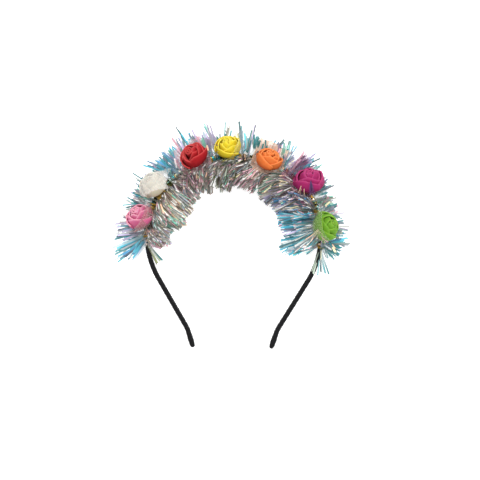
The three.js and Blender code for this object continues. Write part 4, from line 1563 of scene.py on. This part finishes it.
def strip_tree() -> bpy.types.NodeTree:
    """Make the node tree that grows a strip of film from each point.

    Returns:
        The tree, with inputs for the segments of a strip, the table's height and the material.
    """
    tree = bpy.data.node_groups.new("film_strips", "GeometryNodeTree")
    build = Nodes(tree)
    face = tree.interface
    face.new_socket("Roots", in_out="INPUT", socket_type="NodeSocketGeometry")
    face.new_socket("Segments", in_out="INPUT", socket_type="NodeSocketInt")
    face.new_socket("Table", in_out="INPUT", socket_type="NodeSocketFloat")
    face.new_socket("Film", in_out="INPUT", socket_type="NodeSocketMaterial")
    face.new_socket("Strips", in_out="OUTPUT", socket_type="NodeSocketGeometry")
    given = build.add("NodeGroupInput").outputs
    rows = build.maths("ADD", given["Segments"], 1.0)
    strip = build.add("GeometryNodeMeshGrid", {"Size X": 1.0, "Size Y": 1.0, "Vertices X": 2,
                                               "Vertices Y": rows})
    place = build.add("ShaderNodeSeparateXYZ", {0: build.add("GeometryNodeInputPosition").outputs[0]})
    share = build.maths("ADD", place.outputs["Y"], 0.5)
    stored = build.add("GeometryNodeStoreNamedAttribute",
                       {"Geometry": strip.outputs["Mesh"], "Name": "across", "Value": place.outputs["X"]})
    stored = build.add("GeometryNodeStoreNamedAttribute",
                       {"Geometry": stored.outputs[0], "Name": "span", "Value": share})
    copies = build.add("GeometryNodeInstanceOnPoints",
                       {"Points": given["Roots"], "Instance": stored.outputs[0]})
    plain = build.add("GeometryNodeRealizeInstances", {"Geometry": copies.outputs[0]})

    def named(name: str, kind: str = "FLOAT") -> bpy.types.NodeSocket:
        """Return a value that each root holds."""
        node = build.add("GeometryNodeInputNamedAttribute", {"Name": name}, data_type=kind)
        return next(s for s in node.outputs if s.enabled and s.name == "Attribute")

    aim, side = named("aim", "FLOAT_VECTOR"), named("side", "FLOAT_VECTOR")
    span, across, reach = named("span"), named("across"), named("reach")
    normal = build.vectors("CROSS_PRODUCT", aim, side)
    square = build.maths("MULTIPLY", span, span)
    run = build.maths("MULTIPLY", reach, span)
    angle = build.maths("ADD", named("turn"), build.maths("MULTIPLY", named("twist"), span))
    breadth = named("breadth")
    half = build.maths("MULTIPLY", across, breadth)
    width = build.vectors("ADD", build.scaled(side, build.maths("COSINE", angle)),
                          build.scaled(normal, build.maths("SINE", angle)))
    cut = build.maths("MULTIPLY", build.maths("POWER", span, 12.0),
                      build.maths("MULTIPLY", half, named("slant")))
    bent = build.maths("MULTIPLY", reach, square)
    position = build.vectors("ADD", named("root", "FLOAT_VECTOR"),
                             build.scaled(aim, build.maths("ADD", run, cut)))
    position = build.vectors("ADD", position, build.scaled(width, half))
    position = build.vectors("ADD", position,
                             build.scaled(normal, build.maths("MULTIPLY", bent, named("curl"))))
    position = build.vectors("ADD", position,
                             build.scaled(side, build.maths("MULTIPLY", bent, named("sway"))))
    parts = build.add("ShaderNodeSeparateXYZ", {0: position})
    over = build.maths("MAXIMUM", parts.outputs["Z"], given["Table"])
    position = build.add("ShaderNodeCombineXYZ", {"X": parts.outputs["X"], "Y": parts.outputs["Y"],
                                                  "Z": over})
    moved = build.add("GeometryNodeSetPosition",
                      {"Geometry": plain.outputs[0], "Position": position.outputs[0]})
    dressed = build.add("GeometryNodeSetMaterial",
                        {"Geometry": moved.outputs[0], "Material": given["Film"]})
    build.add("NodeGroupOutput", {0: dressed.outputs[0]})
    return tree


def grown(seeds: bpy.types.Mesh, tree: bpy.types.NodeTree, values: dict[str, Any]) -> bpy.types.Mesh:
    """Run a node tree on a mesh and return the plain result.

    Args:
        seeds: The mesh that the tree starts from.
        tree: The node tree.
        values: Values of the tree's inputs, by name.

    Returns:
        The plain mesh.
    """
    holder = bpy.data.objects.new("holder", seeds)
    bpy.context.collection.objects.link(holder)
    modifier = holder.modifiers.new("grow", "NODES")
    modifier.node_group = tree
    for socket in tree.interface.items_tree:
        if socket.in_out == "INPUT" and socket.name in values:
            modifier[socket.identifier] = values[socket.name]
    bpy.context.view_layer.update()
    graph = bpy.context.evaluated_depsgraph_get()
    mesh = bpy.data.meshes.new_from_object(holder.evaluated_get(graph))
    bpy.data.objects.remove(holder)
    return mesh


def new_material(name: str) -> tuple[bpy.types.Material, Nodes, bpy.types.Node]:
    """Make an empty material with a Principled shader.

    Args:
        name: The material's name.

    Returns:
        The material, its nodes, and the shader.
    """
    material = bpy.data.materials.new(name)
    material.use_nodes = True
    nodes = Nodes(material.node_tree)
    shader = nodes.add("ShaderNodeBsdfPrincipled")
    nodes.add("ShaderNodeOutputMaterial", {"Surface": shader.outputs[0]})
    return material, nodes, shader


def mixed(nodes: Nodes, share: Any, first: Any, second: Any) -> bpy.types.NodeSocket:
    """Mix two colours.

    Args:
        nodes: The material's nodes.
        share: The second colour's share.
        first: The first colour, or a socket that gives it.
        second: The second colour, or a socket that gives it.

    Returns:
        The mixed colour.
    """
    node = nodes.add("ShaderNodeMix", {"Factor": share}, data_type="RGBA")
    for place, value in ((6, first), (7, second)):
        if isinstance(value, bpy.types.NodeSocket):
            nodes.tree.links.new(value, node.inputs[place])
        else:
            node.inputs[place].default_value = (*value, 1.0)
    return node.outputs[2]


@dataclass(frozen=True)
class RibbonFinish:
    """Black satin ribbon with a fine weave across its length, and a painted highlight along its lapped
    edges.
    """

    colour: Colour = (0.004, 0.004, 0.005)
    # The light colour is a paler black: painted highlight on the lapped edges, also random worn patches.
    light: Colour = (0.009, 0.009, 0.010)
    thread: float = 0.00022

    def material(self) -> bpy.types.Material:
        """Make the ribbon's material.

        Returns:
            The material.
        """
        material, nodes, shader = new_material("black_satin_ribbon")
        weave = nodes.add("ShaderNodeTexWave",
                          {"Vector": nodes.cloth(), "Scale": 0.16 / self.thread, "Distortion": 0.6,
                           "Detail": 1.0}, bands_direction="Y")
        worn = nodes.noise(nodes.place(), 420.0, 3.0)
        # painted highlight on the lapped edges, plus random worn patches, mixed towards the paler colour
        share = nodes.maths("ADD", nodes.maths("MULTIPLY", nodes.number("edge"), 0.55),
                            nodes.maths("MULTIPLY", worn, 0.3))
        nodes.give(shader, {
            "Base Color": mixed(nodes, share, self.colour, self.light),
            "Normal": nodes.bump(weave.outputs["Fac"], 0.35, 0.00006),
            "Roughness": 0.6, "Specular IOR Level": 0.15, "Sheen Weight": 0.01})
        return material


@dataclass(frozen=True)
class FoamFinish:
    """Soft matte foam sheet, with a painted highlight on its rims and painted shade where the petals
    meet.
    """

    # The rim colour is a painted highlight on the petals' rims; the deep colour is painted shade where
    # the petals meet.
    body: Colour
    rim_highlight: Colour
    deep: Colour

    def material(self, name: str) -> bpy.types.Material:
        """Return the foam's material.

        Args:
            name: The rose's name.

        Returns:
            The material.
        """
        material, nodes, shader = new_material(f"foam_{name}")
        place = nodes.place()
        cloud = nodes.noise(place, 260.0, 3.0)
        cells = nodes.add("ShaderNodeTexVoronoi", {"Vector": place, "Scale": 3200.0})
        # painted shade: deep colour at the petals' feet, fading to the body colour up the petal, with
        # random clouds
        shade = nodes.maths("ADD", nodes.number("shade_fade"), nodes.maths("MULTIPLY", cloud, 0.3))
        shade = nodes.maths("SUBTRACT", shade, 0.12)
        colour = mixed(nodes, shade, self.deep, self.body)
        # painted highlight on the rims of the petals
        rim_highlight = nodes.maths("MULTIPLY", nodes.number("rim_highlight"), 0.85)
        fine = nodes.maths("ADD", cells.outputs["Distance"], nodes.maths("MULTIPLY", cloud, 0.8))
        nodes.give(shader, {
            "Base Color": mixed(nodes, rim_highlight, colour, self.rim_highlight),
            "Normal": nodes.bump(fine, 0.25, 0.00008),
            "Roughness": 0.75, "Specular IOR Level": 0.12, "Sheen Weight": 0.01,
            "Subsurface Weight": 0.12, "Subsurface Scale": 0.0015})
        return material


@dataclass(frozen=True)
class NetFinish:
    """Fine tulle net, with small woven dots on some squares."""

    colour: Colour
    dots: Colour | None = None
    cover: float = 0.13
    thread: float = 0.55
    mesh_size: float = 0.0006

    def material(self, name: str) -> bpy.types.Material:
        """Return the net's material.

        Args:
            name: The rose's name.

        Returns:
            The material.
        """
        material, nodes, shader = new_material(f"tulle_{name}")
        uv = nodes.cloth()
        cells = nodes.add("ShaderNodeTexVoronoi",
                          {"Vector": uv, "Scale": 1 / self.mesh_size, "Randomness": 0.35},
                          feature="DISTANCE_TO_EDGE", voronoi_dimensions="2D")
        alpha = nodes.mapped(cells.outputs["Distance"], 0.09, 0.16, self.thread, self.cover)
        pale = tuple(min(1.0, c * 1.2 + 0.03) for c in self.colour)
        colour = mixed(nodes, nodes.noise(uv, 180.0, 2.0), self.colour, pale)
        if self.dots is not None:
            spots = nodes.add("ShaderNodeTexVoronoi",
                              {"Vector": uv, "Scale": 420.0, "Randomness": 0.3},
                              voronoi_dimensions="2D")
            spot = nodes.mapped(spots.outputs["Distance"], 0.13, 0.2, 1.0, 0.0)
            colour = mixed(nodes, spot, colour, self.dots)
            alpha = nodes.maths("MAXIMUM", alpha, spot)
        nodes.give(shader, {"Base Color": colour, "Alpha": alpha, "Roughness": 0.6,
                            "Sheen Weight": 0.3})
        return material


@dataclass(frozen=True)
class FilmFinish:
    """Iridescent film: each strip shifts between two colours along its length, and some strips carry a
    painted glint that glows.
    """

    tip_cover: float = 0.92
    # glow: emission strength that makes the painted glints glow
    glow: float = 0.55
    metal: float = 0.06
    roughness: float = 0.35
    film: float = 420.0

    def material(self, name: str) -> bpy.types.Material:
        """Return the film's material.

        Args:
            name: The material's name.

        Returns:
            The material.
        """
        material, nodes, shader = new_material(name)
        span, place = nodes.number("span"), nodes.place()
        shift = nodes.maths("MULTIPLY", nodes.noise(place, 190.0, 2.0), 1.2)
        share = nodes.mapped(nodes.maths("ADD", span, shift), 0.65, 1.25)
        colour = mixed(nodes, share, nodes.painted("tint_a"), nodes.painted("tint_b"))
        # painted glint: over a stretch of the strip the colour turns to the glint colour, glows by
        # emission and turns opaque
        apart = nodes.maths("ABSOLUTE", nodes.maths("SUBTRACT", span, nodes.number("glint")))
        apart = nodes.maths("SUBTRACT", apart, nodes.number("glint_span"))
        shine = nodes.mapped(apart, 0.0, 0.05, 1.0, 0.0)
        flash = nodes.painted("tint_glint")
        cover = nodes.mapped(span, 0.25, 0.8, nodes.number("clear"), self.tip_cover)
        nodes.give(shader, {
            "Base Color": mixed(nodes, shine, colour, flash),
            "Emission Color": flash, "Emission Strength": nodes.maths("MULTIPLY", shine, self.glow),
            "Alpha": nodes.maths("MAXIMUM", cover, shine),
            "Normal": nodes.bump(nodes.noise(place, 900.0, 2.0), 0.12, 0.0001),
            "Metallic": self.metal, "Roughness": self.roughness,
            "Thin Film Thickness": self.film, "Thin Film IOR": 1.5})
        return material


@dataclass
class Studio:
    """The pale floor, the soft lights and the camera."""

    image_span: float = 0.3504  # metres across the image, at the crown
    lens: float = 85.0
    aim: tuple[float, float] = (4.4, -3.65)  # millimetres from the hoop's middle
    floor_half: float = 3.0
    floor_glow: float = 0.6
    daylight: float = 0.55
    lamps: tuple[tuple[str, tuple[float, float, float], float, float], ...] = (  # place, size, power
        ("key", (-0.25, 0.6, 1.0), 0.6, 9.0), ("fill", (0.7, 0.1, 0.8), 0.5, 4.0),
        ("low", (0.1, -0.9, 0.6), 0.6, 2.5))

    def build(self, hoop: Hoop) -> None:
        """Build the studio round the crown.

        Args:
            hoop: The hoop, whose plane the camera looks at squarely.
        """
        half = self.floor_half
        mesh = bpy.data.meshes.new("floor")
        corners = [(-half, -half, 0), (half, -half, 0), (half, half, 0), (-half, half, 0)]
        mesh.from_pydata(corners, [], [(0, 1, 2, 3)])
        floor = bpy.data.objects.new("floor", mesh)
        bpy.context.collection.objects.link(floor)
        material, nodes, shader = new_material("floor_paper")
        grain = nodes.noise(nodes.place(), 60.0, 3.0)
        nodes.give(shader, {
            "Base Color": mixed(nodes, grain, (0.93, 0.93, 0.93), (0.95, 0.95, 0.95)),
            "Roughness": 0.9, "Emission Color": (1.0, 1.0, 1.0, 1.0),
            "Emission Strength": self.floor_glow})
        mesh.materials.append(material)
        normal = Vector(hoop.lean(UP[None])[0])
        target = Vector(hoop.world(np.array([[*self.aim, 0.0]]))[0])
        camera = bpy.data.objects.new("camera", bpy.data.cameras.new("camera"))
        camera.data.lens = self.lens
        distance = self.image_span * self.lens / camera.data.sensor_width
        right = Vector((1, 0, 0))
        turn = Matrix((right, normal.cross(right), normal)).transposed().to_4x4()
        camera.matrix_world = Matrix.Translation(target + normal * distance) @ turn
        camera.data.clip_start = 0.01
        bpy.context.collection.objects.link(camera)
        bpy.context.scene.camera = camera
        for lamp in self.lamps:
            self.light(*lamp)
        world = bpy.data.worlds.new("studio")
        world.use_nodes = True
        background = world.node_tree.nodes["Background"]
        background.inputs["Color"].default_value = (1.0, 1.0, 1.0, 1.0)
        background.inputs["Strength"].default_value = self.daylight
        bpy.context.scene.world = world
        bpy.context.scene.view_settings.view_transform = "Standard"

    @staticmethod
    def light(name: str, place: tuple[float, float, float], size: float, power: float) -> None:
        """Add a soft light that faces the crown.

        Args:
            name: The light's name.
            place: Where it hangs, in metres.
            size: Its side, in metres.
            power: Its power, in watts.
        """
        lamp = bpy.data.lights.new(name, "AREA")
        lamp.size = size
        lamp.energy = power
        source = bpy.data.objects.new(name, lamp)
        source.location = place
        source.rotation_euler = Vector(place).to_track_quat("Z", "Y").to_euler()
        bpy.context.collection.objects.link(source)


def rose_list() -> list[Rose]:
    """List the roses.

    Returns:
        The seven roses, from left to right.
    """
    pink = FoamFinish((0.55, 0.12, 0.24), (0.84, 0.42, 0.52), (0.30, 0.05, 0.11))
    white = FoamFinish((0.58, 0.52, 0.40), (0.66, 0.61, 0.50), (0.50, 0.43, 0.31))
    red = FoamFinish((0.33, 0.008, 0.012), (0.60, 0.07, 0.07), (0.13, 0.003, 0.006))
    yellow = FoamFinish((0.68, 0.52, 0.022), (0.82, 0.70, 0.08), (0.38, 0.25, 0.008))
    orange = FoamFinish((0.64, 0.15, 0.032), (0.82, 0.27, 0.08), (0.36, 0.05, 0.01))
    magenta = FoamFinish((0.32, 0.018, 0.11), (0.46, 0.06, 0.19), (0.13, 0.004, 0.04))
    green = FoamFinish((0.12, 0.29, 0.018), (0.22, 0.43, 0.05), (0.035, 0.10, 0.005))
    return [
        Rose("pink", place=169.3, seat=92, lean=52, aside=-8, spin=15, size=1.0, nod=54, heading=118,
             foam=pink, net=NetFinish((0.42, 0.20, 0.21), cover=0.15, thread=0.45),
             square=Square(26, 4, 75, wrap=1, nod=78, heading=150), seed=11),
        Rose("white", place=145.5, seat=90, lean=46, aside=2, spin=50, size=1.0, nod=44, heading=130,
             foam=white, net=NetFinish((0.78, 0.77, 0.74), cover=0.14, thread=0.4),
             square=Square(36, 4, 90, wrap=1, nod=118, heading=318, gather=0.5, gathers=31, flare=0.8,
                           bowl=12.0), seed=12),
        Rose("red", place=113.8, seat=92, lean=54, aside=6, spin=80, size=1.0, nod=46, heading=134,
             foam=red, net=NetFinish((0.74, 0.46, 0.52), (0.6, 0.2, 0.28)),
             square=Square(26, 4, 315), seed=13),
        Rose("yellow", place=93.5, seat=90, lean=46, aside=0, spin=30, size=0.93, nod=44, heading=100,
             foam=yellow, net=NetFinish((0.62, 0.56, 0.12), cover=0.16, thread=0.45),
             square=Square(26, 3, 200, wrap=1, nod=66, heading=145), seed=14),
        Rose("orange", place=68, seat=120, lean=66, aside=-6, spin=10, size=0.95, nod=54, heading=74,
             foam=orange, net=NetFinish((0.86, 0.64, 0.50), (0.6, 0.3, 0.2), 0.34, 0.7),
             square=Square(26, 4, 270), seed=15),
        Rose("magenta", place=38.5, seat=95, lean=59, aside=-4, spin=65, size=1.14, nod=60, heading=95,
             foam=magenta, net=NetFinish((0.20, 0.02, 0.10)), square=Square(26, 4, 15), seed=16),
        Rose("green", place=5, seat=115, lean=63, aside=4, spin=40, size=1.06, nod=54, heading=18,
             foam=green, net=NetFinish((0.27, 0.43, 0.12), cover=0.14, thread=0.45),
             square=Square(26, 4, 90, wrap=1, nod=76, heading=10), seed=17)]


def net_walls(roses: list[Rose], index: int) -> list[tuple[Array, float]]:
    """Return the walls that keep a square of tulle clear of its neighbours.

    Args:
        roses: All the roses, in order round the hoop.
        index: The number of the square's own rose.

    Returns:
        Normals in the hoop's plane with the furthest distance that the net may reach.
    """
    walls = []
    for other in (index - 1, index + 1):
        if 0 <= other < len(roses):
            middle = math.radians((roses[index].place + roses[other].place) / 2)
            sign = 1 if roses[other].place > roses[index].place else -1
            normal = np.array([-math.sin(middle), math.cos(middle), 0.0]) * sign
            walls.append((normal, -roses[index].gap / 2))
    return walls


def main() -> None:
    """Build the crown and its studio."""
    logging.basicConfig(level=logging.INFO, format="%(message)s")
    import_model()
    hoop = Hoop()
    hoop.settle()
    Studio().build(hoop)
    hoop.build(RibbonFinish())
    garland = Garland()
    roses = rose_list()
    middles = []
    for index, rose in enumerate(roses):
        rose.build(hoop, garland.film)
        rose.build_tulle(hoop, garland.film, net_walls(roses, index))
        matrix = rose.frame(hoop, garland.film)
        middles.append((matrix[:3, :3] @ np.array([0, 0, rose.height / 2]) + matrix[:3, 3],
                        rose.diameter / 2 * rose.size + STRIP_ROOM))
    garland.build(hoop, middles, FilmFinish())
    garland.build_winding(hoop, FilmFinish(metal=0.75, roughness=0.25))


if __name__ == "__main__":
    main()
